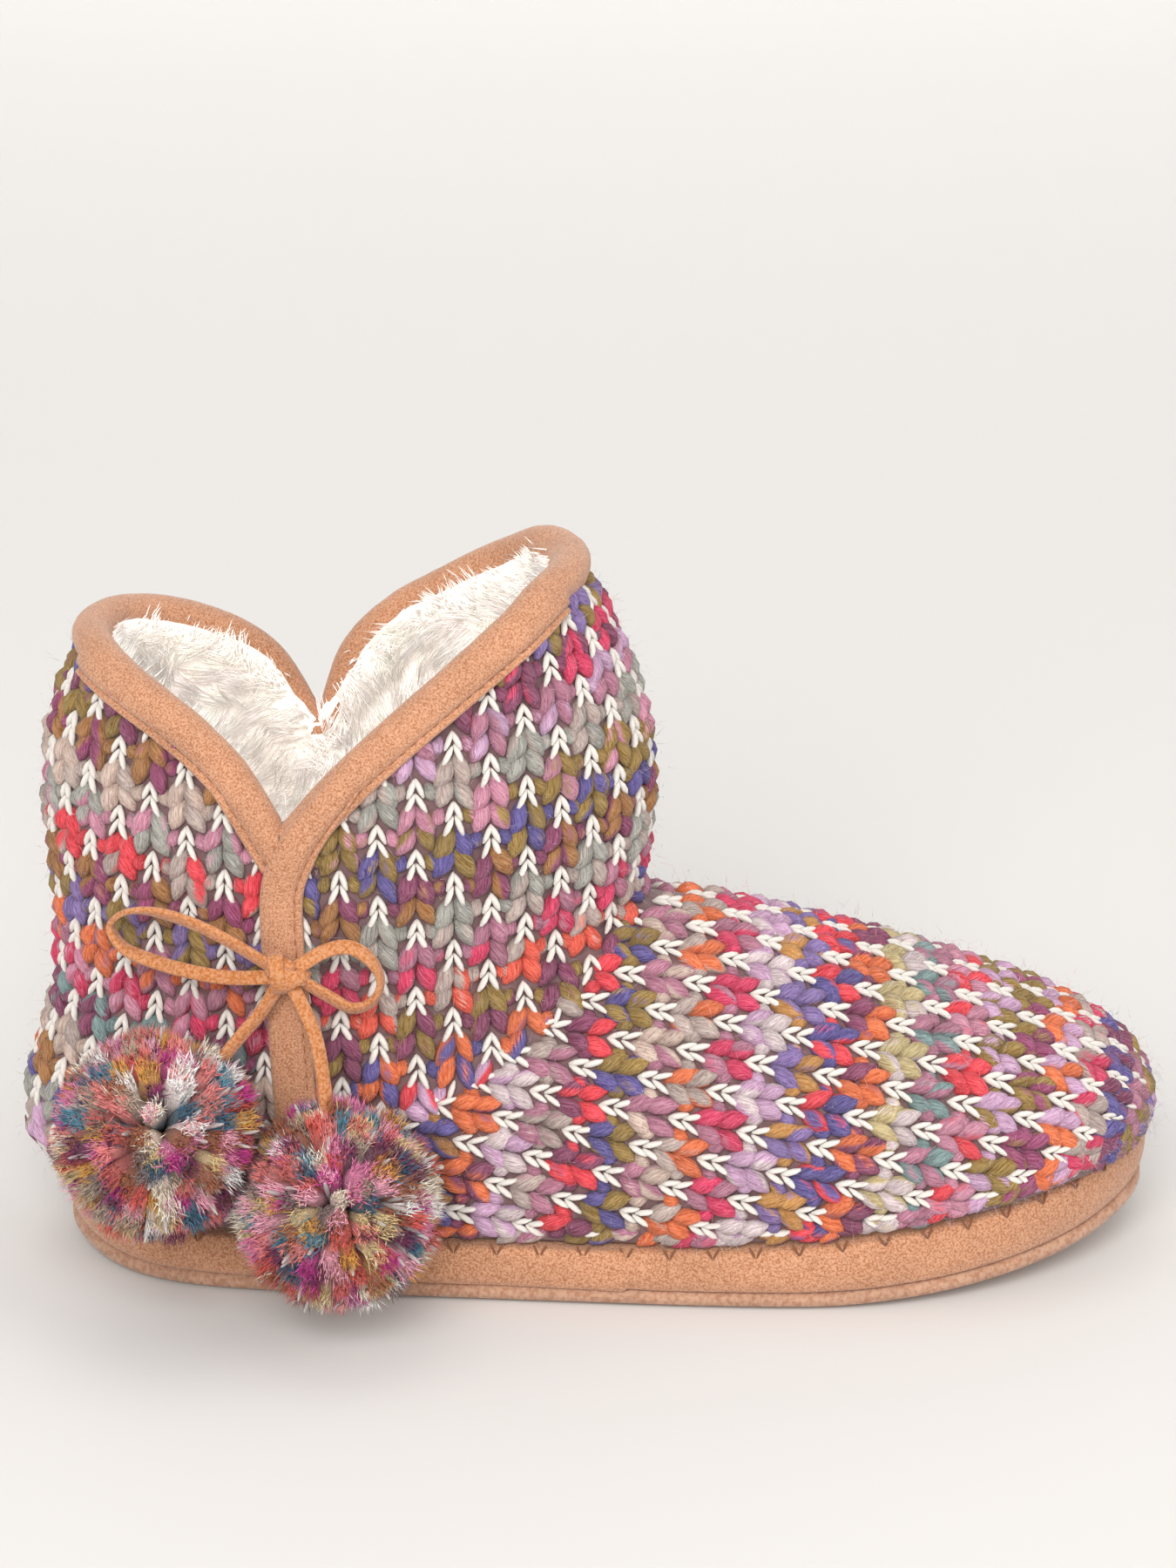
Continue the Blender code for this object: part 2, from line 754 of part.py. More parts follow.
def knot(tree):
    """Rounded block of the tied knot."""
    x = NOTCH_LATERAL[0] + STRIP_LEAN * (NOTCH_LATERAL[1] - STRIP_BELOW_NOTCH - KNOT_Z) + 0.6
    place, normal = side_point(tree, x, KNOT_Z, -1)
    centre = place + Vector((0, -1, 0)) * (GAP * 2 + STRIP_THICK + KNOT_SIZE[1] / 2 + 0.4)
    bm = bmesh.new()
    bmesh.ops.create_icosphere(bm, subdivisions=3, radius=1.0)
    points = []
    for v in bm.verts:
        d = v.co.normalized()
        shape = [math.copysign(abs(c) ** 0.72, c) for c in d]
        points.append([centre[k] + shape[k] * KNOT_SIZE[k] / 2 for k in range(3)])
    faces = [tuple(v.index for v in f.verts) for f in bm.faces]
    bm.free()
    return solid("bow_knot", points, faces, COLOURS["lace"]), centre


def pompom_centre(tree, x, z):
    """Seat the ball beside the knit: the knit's nearest point is one seat away from its centre."""
    place, _ = side_point(tree, x, z, -1)
    y = place.y
    for _ in range(60):
        _, _, _, far = tree.find_nearest(Vector((x, y, z)))
        if far >= POMPOM_SEAT and y < place.y - 1:
            break
        y -= 0.5
    return Vector((x, y, z))


def pompom(name, centre, other, trees, rng):
    """Ball with a lock of yarn standing on each cell, shorter where it presses on its neighbours."""
    bm = bmesh.new()
    bmesh.ops.create_cube(bm, size=2.0)
    bmesh.ops.subdivide_edges(bm, edges=bm.edges, cuts=POMPOM_CELLS - 1, use_grid_fill=True)
    for v in bm.verts:
        c = Vector([math.tan(x * math.pi / 4) for x in v.co])
        v.co = c.normalized()
    cells = list(bm.faces)
    bmesh.ops.inset_individual(bm, faces=cells, thickness=0.055, use_even_offset=True)
    reach = {}
    for cell in cells:
        long = rng.uniform(*POMPOM_LOCKS)
        toward = other - centre
        ahead = max(v.co.normalized().dot(toward.normalized()) for v in cell.verts)
        if ahead > 0.25:
            long = min(long, (toward.length / 2 - 0.8) / ahead)
        for tree in trees:
            for v in cell.verts:
                hit = tree.ray_cast(centre, v.co.normalized())
                if hit[0] is not None:
                    long = min(long, hit[3] - 0.8)
        way_down = min(v.co.normalized().z for v in cell.verts)
        if way_down < -0.1:
            long = min(long, (centre.z - 2.0) / -way_down)
        reach[cell] = max(long, POMPOM_CORE + 0.8)
    for cell, long in reach.items():
        middle = cell.calc_center_median()
        for v in cell.verts:
            v.co = (middle + (v.co - middle) * 0.82).normalized() * (long / POMPOM_CORE)
    points = [centre + v.co * POMPOM_CORE for v in bm.verts]
    bm.verts.index_update()
    faces = [tuple(v.index for v in f.verts) for f in bm.faces]
    bm.free()
    return solid(name, points, faces, COLOURS[name])


def build_bow(upper, tree):
    tied, tied_centre = knot(tree)
    tied_end = (surface(tied), tied_centre, 0.6)
    lace("bow_loop_rear", tree, LOOP_REAR, tied_end, tied_end, COLOURS["lace"])
    lace("bow_loop_front", tree, LOOP_FRONT, tied_end, tied_end, COLOURS["lace"])
    near = ("midsole", "side_strip_lateral")
    trees = [tree] + [surface(bpy.data.objects[name]) for name in near]
    rng = random.Random(POMPOM_SEED)
    centres = [pompom_centre(tree, x, z) for name, x, z in POMPOMS]
    balls = []
    for k, (name, x, z) in enumerate(POMPOMS):
        balls.append(surface(pompom(name, centres[k], centres[1 - k], trees, rng)))
    for k, (name, route) in enumerate((("bow_tail_rear", TAIL_REAR), ("bow_tail_front", TAIL_FRONT))):
        lace(name, tree, route, tied_end, (balls[k], centres[k], 0.0), COLOURS["lace"])


def main():
    clear_scene()
    build_sole()
    upper, outer, inner = build_upper()
    tree = build_trim(upper, outer, inner)
    build_bow(upper, tree)


main()
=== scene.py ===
"""Dresses the knit slipper boot: chunky yarn, suede trim, plush lining, bow, pompoms and stage.

Tables and working points are in millimetres; meshes are written in metres.
"""

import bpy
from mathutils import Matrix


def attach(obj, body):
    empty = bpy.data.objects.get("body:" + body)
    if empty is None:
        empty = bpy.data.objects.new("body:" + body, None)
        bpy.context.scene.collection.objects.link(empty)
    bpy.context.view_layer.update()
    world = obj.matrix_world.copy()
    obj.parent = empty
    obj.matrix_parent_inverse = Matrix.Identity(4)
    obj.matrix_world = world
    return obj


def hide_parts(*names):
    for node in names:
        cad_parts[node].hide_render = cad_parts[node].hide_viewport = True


bl_info = {
    "name": "Knit slipper boot",
    "version": (1, 0, 0),
    "blender": (4, 5, 0),
    "location": "View3D > Sidebar > Slipper",
    "description": "Yarn, suede, lining, bow, pompoms and stage for the knit slipper boot",
    "category": "Object",
}

import math
import random

import bmesh
import bpy
import numpy as np
from bpy.props import FloatProperty, FloatVectorProperty, IntProperty, PointerProperty
from bpy.types import Operator, Panel, PropertyGroup
from mathutils import Matrix, Vector, noise
from mathutils.bvhtree import BVHTree

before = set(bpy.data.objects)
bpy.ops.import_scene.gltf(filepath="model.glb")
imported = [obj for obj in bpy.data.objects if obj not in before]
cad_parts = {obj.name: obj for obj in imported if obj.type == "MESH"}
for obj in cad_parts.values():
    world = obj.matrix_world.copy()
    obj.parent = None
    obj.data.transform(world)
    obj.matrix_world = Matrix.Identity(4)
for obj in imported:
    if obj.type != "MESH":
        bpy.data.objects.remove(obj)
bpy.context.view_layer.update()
MM = 0.001

# Shaft seen from the side and its half-width, by height.
SHAFT = [  # z, front, back, half width
    (85.0, 14.6, -123.2, 43.4), (105.0, 15.9, -124.4, 43.6), (118.0, 15.8, -124.4, 43.7),
    (131.0, 13.8, -121.6, 43.5), (141.0, 10.2, -117.6, 43.0), (151.0, 5.8, -112.6, 42.4),
    (160.0, 1.2, -109.0, 41.6), (170.0, -5.2, -106.0, 40.6),
]

# Crest of the collar, heel to front, with the deepest point at the notch.
CREST = {
    -1: [
        (-125.0, 150.8), (-113.0, 150.0), (-105.0, 147.2), (-93.0, 141.4), (-79.5, 131.0),
        (-68.0, 113.0), (-57.0, 126.0), (-46.0, 136.6), (-34.0, 146.6), (-16.0, 159.6),
        (-5.0, 166.0), (5.0, 167.0),
    ],
    1: [
        (-125.0, 150.8), (-113.0, 150.0), (-104.0, 147.4), (-90.0, 141.6), (-75.0, 131.6),
        (-62.0, 109.0), (-55.5, 130.0), (-45.0, 141.4), (-32.0, 149.6), (-16.0, 159.6),
        (-5.0, 166.0), (5.0, 167.0),
    ],
}
NOTCH = {-1: (-68.0, 113.0), 1: (-62.0, 109.0)}
CREST_RISE = 2.6
WALL = 5.0

# Top of the suede band, seen from the side.
BAND_TOP = [  # x, z
    (-123.0, 15.5), (-108.0, 15.0), (0.0, 15.0), (30.0, 15.6), (52.0, 17.2), (75.0, 19.6),
    (95.0, 22.0), (112.0, 24.8), (124.0, 26.8), (131.0, 27.2),
]

# Seam between the shaft and the vamp, seen from the side.
SHAFT_SEAM = [  # x, z
    (-80.0, 26.0), (-66.0, 33.0), (-50.0, 41.0), (-37.0, 48.0), (-23.0, 56.0), (-7.0, 67.0),
    (5.0, 79.0), (14.0, 87.0),
]

# Middle of each side tape, from the front flap round the notch and down the side seam.
STRIP_PATH = {
    -1: [
        (-51.6, 125.6), (-58.4, 118.0), (-64.2, 110.0), (-67.4, 102.0),
        (-68.0, 93.0), (-67.2, 78.0), (-65.8, 50.0), (-64.3, 16.8),
    ],
    1: [
        (-50.2, 126.6), (-54.4, 116.6), (-58.4, 107.0), (-61.0, 98.0),
        (-61.8, 88.0), (-61.0, 70.0), (-59.8, 48.0), (-58.3, 16.8),
    ],
}

# Lace: routes in the side view, with the clear space kept from the knit.
LOOP_REAR = [  # x, z, off
    (-72.8, 85.2, 5.0), (-80.0, 90.2, 6.0), (-89.0, 94.0, 7.0), (-97.5, 95.0, 7.5),
    (-103.6, 93.0, 7.5), (-106.4, 89.2, 7.5), (-103.8, 85.2, 7.5), (-97.5, 83.4, 7.5),
    (-88.0, 82.0, 7.0), (-79.5, 81.2, 6.0), (-72.8, 81.2, 5.0),
]
LOOP_FRONT = [  # x, z, off
    (-61.4, 85.2, 5.0), (-57.6, 88.8, 6.0), (-52.6, 89.8, 6.5), (-48.0, 86.6, 6.5),
    (-45.8, 81.6, 6.5), (-47.6, 76.6, 6.5), (-52.0, 75.0, 6.5), (-57.0, 77.6, 6.0),
    (-61.4, 81.0, 5.0),
]
TAIL_REAR = [  # x, z, off
    (-70.2, 76.9, 6.0), (-73.0, 73.2, 7.0), (-76.4, 69.6, 9.0),
]
TAIL_FRONT = [  # x, z, off
    (-63.6, 76.9, 6.0), (-61.4, 72.0, 8.0), (-59.6, 67.0, 11.0),
]
POMPOM_AT = {"rear": (-95.0, 49.0), "front": (-55.5, 34.0)}
POMPOM_SEAT = 20.5
TUFT_LENGTH = 20.0  # one tuft as drawn, before it is scaled
TUFT_START = 4.0  # tufts start this far from the middle
TUFT_SHORT = 3.4  # and end this far short of their fibres' tips
WHITE_START = 8.0  # thin white ends start this far from the middle
WHITE_END = (0.82, 0.80, 0.78)

# Turns of the knot: reach along and depth off the knit, lean in degrees, shift, share of the lace's width.
KNOT_TURNS = [
    (4.1, 2.5, 8, (-1.5, -0.3, 0.0), 1.05),
    (4.3, 2.3, 74, (0.7, -0.1, 0.2), 1.0),
    (3.4, 2.7, 118, (1.3, 0.1, -1.1), 0.95),
]

# Flat lace across its width: shares of the width and of the thickness.
LACE_SECTION = [
    (-0.5, -0.3), (-0.42, -0.5), (0.42, -0.5), (0.5, -0.3),
    (0.5, 0.3), (0.42, 0.5), (-0.42, 0.5), (-0.5, 0.3),
]

# Yarn shades, as seen in daylight.
SHADES = {
    "plum": (132, 50, 94), "mulberry": (152, 56, 108), "olive": (150, 122, 46),
    "bronze": (164, 112, 52), "ochre": (196, 142, 66), "khaki": (198, 184, 132),
    "beige": (206, 186, 172), "grey": (186, 172, 164), "pale": (218, 206, 208),
    "mist": (164, 168, 160), "teal": (118, 150, 150),
    "pink": (208, 142, 168), "lilac": (206, 168, 204), "mauve": (178, 116, 142),
    "violet": (130, 108, 172), "indigo": (86, 76, 152), "red": (234, 48, 68),
    "crimson": (214, 36, 94), "coral": (236, 86, 60), "orange": (228, 112, 54),
}

# Courses of two yarns knitted together, half a repeat apart.
REAR_COURSES = [
    ("plum", "olive"), ("mulberry", "bronze"), ("beige", "grey"), ("pink", "mist"), ("red", "grey"),
    ("bronze", "mulberry"), ("olive", "violet"), ("orange", "mauve"), ("crimson", "pink"), ("teal", "plum"),
    ("grey", "beige"), ("bronze", "orange"), ("indigo", "mist"), ("lilac", "grey"), ("orange", "plum"),
    ("crimson", "mauve"), ("olive", "indigo"),
]
FRONT_COURSES = [
    ("plum", "crimson"), ("lilac", "mauve"), ("mist", "grey"), ("olive", "pink"), ("indigo", "olive"),
    ("plum", "bronze"), ("grey", "mist"), ("mauve", "crimson"), ("coral", "grey"), ("plum", "olive"),
    ("orange", "indigo"), ("red", "lilac"), ("mauve", "grey"), ("crimson", "plum"), ("olive", "violet"),
]
VAMP_COURSES = [
    ("olive", "violet"), ("grey", "lilac"), ("indigo", "bronze"), ("orange", "plum"), ("lilac", "pale"),
    ("mauve", "grey"), ("red", "plum"), ("indigo", "olive"), ("beige", "mauve"), ("orange", "grey"),
    ("crimson", "mauve"), ("lilac", "pale"), ("ochre", "violet"), ("red", "indigo"), ("orange", "plum"),
    ("khaki", "pale"), ("teal", "mauve"), ("red", "pink"), ("lilac", "olive"), ("mulberry", "olive"),
    ("orange", "lilac"), ("crimson", "grey"), ("plum", "indigo"), ("mauve", "olive"),
]
VAMP_FIRST = 6

# Pompom yarn, common shades first.
TUFT_SHADES = [
    (196, 146, 74), (186, 96, 92), (214, 130, 128), (222, 160, 178), (176, 58, 132), (84, 132, 152),
    (62, 96, 120), (226, 214, 198), (238, 232, 230), (108, 54, 84), (150, 92, 66), (168, 152, 136),
    (204, 120, 160), (128, 112, 110), (206, 186, 140), (200, 92, 84),
]

# Where things start and end on the knit.
FAR_OUT = 200.0  # rays at the knit start this far off
FAR_ROUND = 300.0  # rays at the sole start this far off
RAYS = 240  # rays round a section of the knit
COLLAR_LOW = 95.0  # the binding covers no knit below this height
COLLAR_FOOT = 92.0  # the collar shapes nothing below this height
BINDING_DEPTH = 6.2  # knit covered by the binding
WALE_START = 96.0  # height at which the shaft's wales are spaced
SHAFT_MIDDLE = -64.5  # middle of the shaft at that height
SHAFT_TURN = 0.08  # turn of the shaft's wales round it
VAMP_SECTION = (46.0, 16.0)  # x and z of the middle of the section at which the vamp's wales are spaced
VAMP_FALL = 0.2  # fall of the vamp's wales to the toe
VAMP_LOW = 19.0  # height at which the wales below that section start
VAMP_APEX = -19.7  # place of the first whole course of the vamp


def linear(shade):
    """A daylight shade as linear colour."""
    return tuple((c / 255 / 12.92) if c < 11 else ((c / 255 + 0.055) / 1.055) ** 2.4 for c in shade)


# Sizes and colours that a user would change.


class KnitSettings(PropertyGroup):
    wale: FloatProperty(
        name="Wale spacing", description="Distance between columns of stitches",
        default=0.0089, unit="LENGTH",
    )
    shaft_repeat: FloatProperty(
        name="Shaft repeat", description="Height of one white and one coloured stitch",
        default=0.0166, unit="LENGTH",
    )
    vamp_repeat: FloatProperty(
        name="Vamp repeat", description="Length of one white and one coloured stitch",
        default=0.0158, unit="LENGTH",
    )
    lobe_length: FloatProperty(
        name="Lobe length", description="Length of one leg of thick yarn", default=0.0092, unit="LENGTH",
    )
    lobe_width: FloatProperty(
        name="Lobe width", description="Width of one leg of thick yarn", default=0.0046, unit="LENGTH",
    )
    lobe_puff: FloatProperty(
        name="Lobe puff", description="Thickness of one leg of thick yarn", default=0.0046, unit="LENGTH",
    )
    white_width: FloatProperty(
        name="White yarn", description="Width of the thin white yarn", default=0.0015, unit="LENGTH",
    )
    white_colour: FloatVectorProperty(
        name="White", description="Colour of the thin yarn", subtype="COLOR", default=(0.82, 0.78, 0.735),
    )
    # Painted shade: the dark colour of the wall that fills the gaps between the stitches.
    gap_shade_colour: FloatVectorProperty(
        name="Ground", description="Colour deep between the stitches",
        subtype="COLOR", default=(0.17, 0.10, 0.105),
    )
    seed: IntProperty(name="Seed", description="Seed of the yarn's unevenness", default=7)


class TrimSettings(PropertyGroup):
    suede: FloatVectorProperty(
        name="Suede", description="Colour of the suede", subtype="COLOR", default=(0.475, 0.208, 0.103),
    )
    thread: FloatVectorProperty(
        name="Thread", description="Colour of the sewing thread",
        subtype="COLOR", default=(0.27, 0.11, 0.045),
    )
    stitch_step: FloatProperty(
        name="Stitch step", description="Distance between the collar's stitches",
        default=0.0032, unit="LENGTH",
    )


class SoleSettings(PropertyGroup):
    band: FloatVectorProperty(
        name="Band", description="Colour of the suede band", subtype="COLOR", default=(0.48, 0.210, 0.100),
    )
    outsole: FloatVectorProperty(
        name="Outsole", description="Colour of the wear layer",
        subtype="COLOR", default=(0.36, 0.182, 0.112),
    )
    blanket_step: FloatProperty(
        name="Blanket step", description="Distance between the blanket stitches",
        default=0.0098, unit="LENGTH",
    )
    band_join: FloatProperty(
        name="Band join", description="Place of the band's join along the foot",
        default=0.009, unit="LENGTH",
    )


class LiningSettings(PropertyGroup):
    plush: FloatVectorProperty(
        name="Plush", description="Colour of the lining", subtype="COLOR", default=(0.97, 0.935, 0.895),
    )
    pile: FloatProperty(name="Pile", description="Length of the plush", default=0.0085, unit="LENGTH")
    clumps: IntProperty(name="Clumps", description="Clumps of plush on the walls", default=2800)
    strands: IntProperty(name="Strands", description="Fine strands in each clump", default=17)
    seed: IntProperty(name="Seed", description="Seed of the plush", default=5)


class BowSettings(PropertyGroup):
    lace: FloatVectorProperty(
        name="Lace", description="Colour of the lace", subtype="COLOR", default=(0.45, 0.152, 0.034),
    )
    width: FloatProperty(
        name="Lace width", description="Width of the flat lace", default=0.0032, unit="LENGTH",
    )
    thick: FloatProperty(
        name="Lace thickness", description="Thickness of the flat lace", default=0.0013, unit="LENGTH",
    )


class PompomSettings(PropertyGroup):
    reach: FloatProperty(
        name="Reach", description="Length of the longest tufts", default=0.0262, unit="LENGTH",
    )
    tufts: IntProperty(name="Tufts", description="Cut yarn ends in each pompom", default=300)
    fibres: IntProperty(name="Fibres", description="Loose fibres on each yarn end", default=66)
    seed: IntProperty(name="Seed", description="Seed of the tufts", default=3)


class StageSettings(PropertyGroup):
    floor: FloatVectorProperty(
        name="Floor", description="Colour of the floor", subtype="COLOR", default=(0.682, 0.677, 0.674),
    )
    lens: FloatProperty(name="Lens", description="Focal length in millimetres", default=131.3)
    distance: FloatProperty(name="Distance", description="Camera distance", default=1.3, unit="LENGTH")
    elevation: FloatProperty(
        name="Elevation", description="Camera angle above the floor",
        default=math.radians(20), subtype="ANGLE",
    )


class SlipperSettings(PropertyGroup):
    knit: PointerProperty(type=KnitSettings)
    trim: PointerProperty(type=TrimSettings)
    sole: PointerProperty(type=SoleSettings)
    lining: PointerProperty(type=LiningSettings)
    bow: PointerProperty(type=BowSettings)
    pompom: PointerProperty(type=PompomSettings)
    stage: PointerProperty(type=StageSettings)


# Curves and surfaces


def smooth(table, at, column=1):
    """Monotone cubic curve through a table's points."""
    xs = np.array([row[0] for row in table], float)
    ys = np.array([row[column] for row in table], float)
    step = np.diff(xs)
    slope = np.diff(ys) / step
    tangent = np.zeros(len(xs))
    tangent[0], tangent[-1] = slope[0], slope[-1]
    for i in range(1, len(xs) - 1):
        if slope[i - 1] * slope[i] > 0:
            w0 = 2 * step[i] + step[i - 1]
            w1 = step[i] + 2 * step[i - 1]
            tangent[i] = (w0 + w1) / (w0 / slope[i - 1] + w1 / slope[i])
    at = float(np.clip(at, xs[0], xs[-1]))
    i = int(np.clip(np.searchsorted(xs, at) - 1, 0, len(xs) - 2))
    t = (at - xs[i]) / step[i]
    low = (1 + 2 * t) * (1 - t) ** 2 * ys[i] + t * (1 - t) ** 2 * step[i] * tangent[i]
    return low + t * t * (3 - 2 * t) * ys[i + 1] + t * t * (t - 1) * step[i] * tangent[i + 1]


def spline(points, per_span):
    """Points along a centripetal curve through the given points."""
    pts = [np.array(p, float) for p in points]
    pts = [2 * pts[0] - pts[1]] + pts + [2 * pts[-1] - pts[-2]]
    line = []
    for i in range(1, len(pts) - 2):
        p0, p1, p2, p3 = pts[i - 1 : i + 3]
        t1 = math.sqrt(np.linalg.norm(p1 - p0))
        t2 = t1 + math.sqrt(np.linalg.norm(p2 - p1))
        t3 = t2 + math.sqrt(np.linalg.norm(p3 - p2))
        for k in range(per_span):
            t = t1 + (t2 - t1) * k / per_span
            a1 = (t1 - t) / t1 * p0 + t / t1 * p1
            a2 = (t2 - t) / (t2 - t1) * p1 + (t - t1) / (t2 - t1) * p2
            a3 = (t3 - t) / (t3 - t2) * p2 + (t - t2) / (t3 - t2) * p3
            b1 = (t2 - t) / t2 * a1 + t / t2 * a2
            b2 = (t3 - t) / (t3 - t1) * a2 + (t - t1) / (t3 - t1) * a3
            line.append((t2 - t) / (t2 - t1) * b1 + (t - t1) / (t2 - t1) * b2)
    line.append(pts[-2])
    return np.array(line)


def lengths(line):
    """Distance along a line at each of its points."""
    return np.concatenate([[0], np.cumsum(np.linalg.norm(np.diff(line, axis=0), axis=1))])


def at_length(line, far, want):
    """Point of a line at a distance along it."""
    return np.stack([np.interp(want, far, line[:, k]) for k in range(line.shape[1])], axis=-1)


def even(line, count):
    """The line again as points at equal distances along it."""
    far = lengths(line)
    return at_length(line, far, np.linspace(0, far[-1], count))


def add_object(name, data):
    """An object for a mesh, lamp or camera, linked into the scene."""
    obj = bpy.data.objects.new(name, data)
    bpy.context.scene.collection.objects.link(obj)
    return obj


def dress(mesh, material):
    """One material and smooth faces all over a mesh."""
    mesh.materials.clear()
    mesh.materials.append(material)
    mesh.polygons.foreach_set("use_smooth", [True] * len(mesh.polygons))


def mesh_from(bm, name):
    """A mesh from an edited one, which is freed."""
    mesh = bpy.data.meshes.new(name)
    bm.to_mesh(mesh)
    bm.free()
    return mesh


def node_copy(name, levels):
    """Object with a CAD node's mesh, welded and smoothed, in metres."""
    bm = bmesh.new()
    bm.from_mesh(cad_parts[name].data)
    bmesh.ops.remove_doubles(bm, verts=bm.verts, dist=0.00002)
    turn = math.radians(60)
    bmesh.ops.join_triangles(bm, faces=bm.faces, angle_face_threshold=turn, angle_shape_threshold=turn)
    obj = add_object(name + "_copy", mesh_from(bm, name + "_copy"))
    subdivide = obj.modifiers.new("Smooth", "SUBSURF")
    subdivide.levels = subdivide.render_levels = levels
    flatten(obj)
    return obj


def flatten(obj):
    """Turn an object's modifiers into a plain mesh."""
    graph = bpy.context.evaluated_depsgraph_get()
    graph.update()
    made = bpy.data.meshes.new_from_object(obj.evaluated_get(graph))
    old = obj.data
    obj.modifiers.clear()
    obj.data = made
    if old.users == 0:
        bpy.data.meshes.remove(old)


def tree_of(mesh):
    """Search tree of a mesh in millimetres."""
    corners = [v.co / MM for v in mesh.vertices]
    return BVHTree.FromPolygons(corners, [tuple(p.vertices) for p in mesh.polygons])


CACHE = {}


def surfaces():
    """Smoothed knit that the pieces are laid on, made once with the lining's and the sole's surfaces."""
    if "knit" not in CACHE:
        plain, fine = node_copy("upper", 1), node_copy("upper", 2)
        CACHE["upper"] = plain.data.copy()
        CACHE["knit"] = tree_of(fine.data)
        CACHE["midsole"] = tree_of(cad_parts["midsole"].data)
        for obj in (plain, fine):
            bpy.data.objects.remove(obj)
    return CACHE["knit"]


def upper_bmesh():
    """The upper opened for editing, with its faces turned outwards."""
    surfaces()
    bm = bmesh.new()
    bm.from_mesh(CACHE["upper"])
    bmesh.ops.recalc_face_normals(bm, faces=bm.faces)
    bm.normal_update()
    return bm


def side_point(x, z, sign):
    """Place and outward direction on the knit, seen from one side."""
    place, normal, _, _ = surfaces().ray_cast(Vector((x, sign * FAR_OUT, z)), Vector((0, -sign, 0)))
    if place is None:
        raise RuntimeError("no knit at x %.1f z %.1f" % (x, z))
    return place, normal


def crest_z(x, sign):
    """Height of the collar's crest on one side."""
    table = CREST[sign]
    deep = [row[1] for row in table].index(NOTCH[sign][1])
    return smooth(table[: deep + 1] if x <= NOTCH[sign][0] else table[deep:], x)


def strip_x(z, sign):
    """Middle of the side seam at a height."""
    path = STRIP_PATH[sign][3:]
    return float(np.interp(-z, [-p[1] for p in path], [p[0] for p in path]))


# Objects and materials


def keep(obj, slot, *nodes):
    """Hang a finished piece on the root and hide the CAD nodes that it stands for; the slot is not used."""
    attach(obj, "root")
    if nodes:
        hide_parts(*nodes)
    return obj


def piece(name, points, faces, material):
    """A mesh object from points in millimetres."""
    mesh = bpy.data.meshes.new(name)
    mesh.from_pydata([tuple(float(c) * MM for c in p) for p in points], [], faces)
    mesh.validate()
    bm = bmesh.new()
    bm.from_mesh(mesh)
    bmesh.ops.recalc_face_normals(bm, faces=bm.faces)
    bm.to_mesh(mesh)
    bm.free()
    dress(mesh, material)
    return add_object(name, mesh)


def swept(name, sections, material, closed=False):
    """A skin through sections of equal point counts, capped at its ends."""
    n = len(sections[0])
    count = len(sections)
    points = [p for section in sections for p in section]
    faces = []
    for k in range(count if closed else count - 1):
        low, high = k * n, ((k + 1) % count) * n
        for i in range(n):
            j = (i + 1) % n
            faces.append((low + i, low + j, high + j, high + i))
    if not closed:
        faces.append(tuple(reversed(range(n))))
        faces.append(tuple(range((count - 1) * n, count * n)))
    return piece(name, points, faces, material)


def node(tree, kind, inputs=None, **props):
    """A node with its settings, and each input a value or a socket to link."""
    made = tree.nodes.new(kind)
    for key, value in props.items():
        setattr(made, key, value)
    for key, value in (inputs or {}).items():
        if isinstance(value, bpy.types.NodeSocket):
            tree.links.new(value, made.inputs[key])
        else:
            made.inputs[key].default_value = value
    return made


def calc(tree, operation, *values):
    """Output of a math node."""
    return node(tree, "ShaderNodeMath", dict(enumerate(values)), operation=operation).outputs[0]


def mix(tree, share, first, second, blend="MIX"):
    """Colour mixed from two colours."""
    values = {0: share, 6: first, 7: second}
    return node(tree, "ShaderNodeMix", values, data_type="RGBA", blend_type=blend).outputs[2]


def ranged(tree, value, *limits):
    """Value moved from one range to another: from low, from high, to low, to high."""
    return node(tree, "ShaderNodeMapRange", dict(enumerate((value, *limits)))).outputs[0]


def mottle(tree, place, scale, detail, roughness=0.5):
    """Output of a noise texture."""
    values = {"Vector": place, "Scale": scale, "Detail": detail, "Roughness": roughness}
    return node(tree, "ShaderNodeTexNoise", values).outputs[0]


def grey(tree, value):
    """A value as a colour."""
    return node(tree, "ShaderNodeCombineColor", {0: value, 1: value, 2: value}).outputs[0]


def parted(tree, vector):
    """The three parts of a vector."""
    return node(tree, "ShaderNodeSeparateXYZ", {0: vector}).outputs


def attribute(tree, name):
    """Outputs of a mesh attribute in a material."""
    return node(tree, "ShaderNodeAttribute", attribute_name=name).outputs


def object_place(tree):
    """Place in the object's own space."""
    return node(tree, "ShaderNodeTexCoord").outputs["Object"]


def new_tree(name, kind, inputs, outputs):
    """An empty node group of a kind with its sockets, and its two end nodes."""
    tree = bpy.data.node_groups.new(name, kind + "NodeTree")
    for label, socket, value in inputs:
        made = tree.interface.new_socket(name=label, in_out="INPUT", socket_type="NodeSocket" + socket)
        if value is not None:
            made.default_value = value
    for label, socket in outputs:
        tree.interface.new_socket(name=label, in_out="OUTPUT", socket_type="NodeSocket" + socket)
    return tree, tree.nodes.new("NodeGroupInput"), tree.nodes.new("NodeGroupOutput")


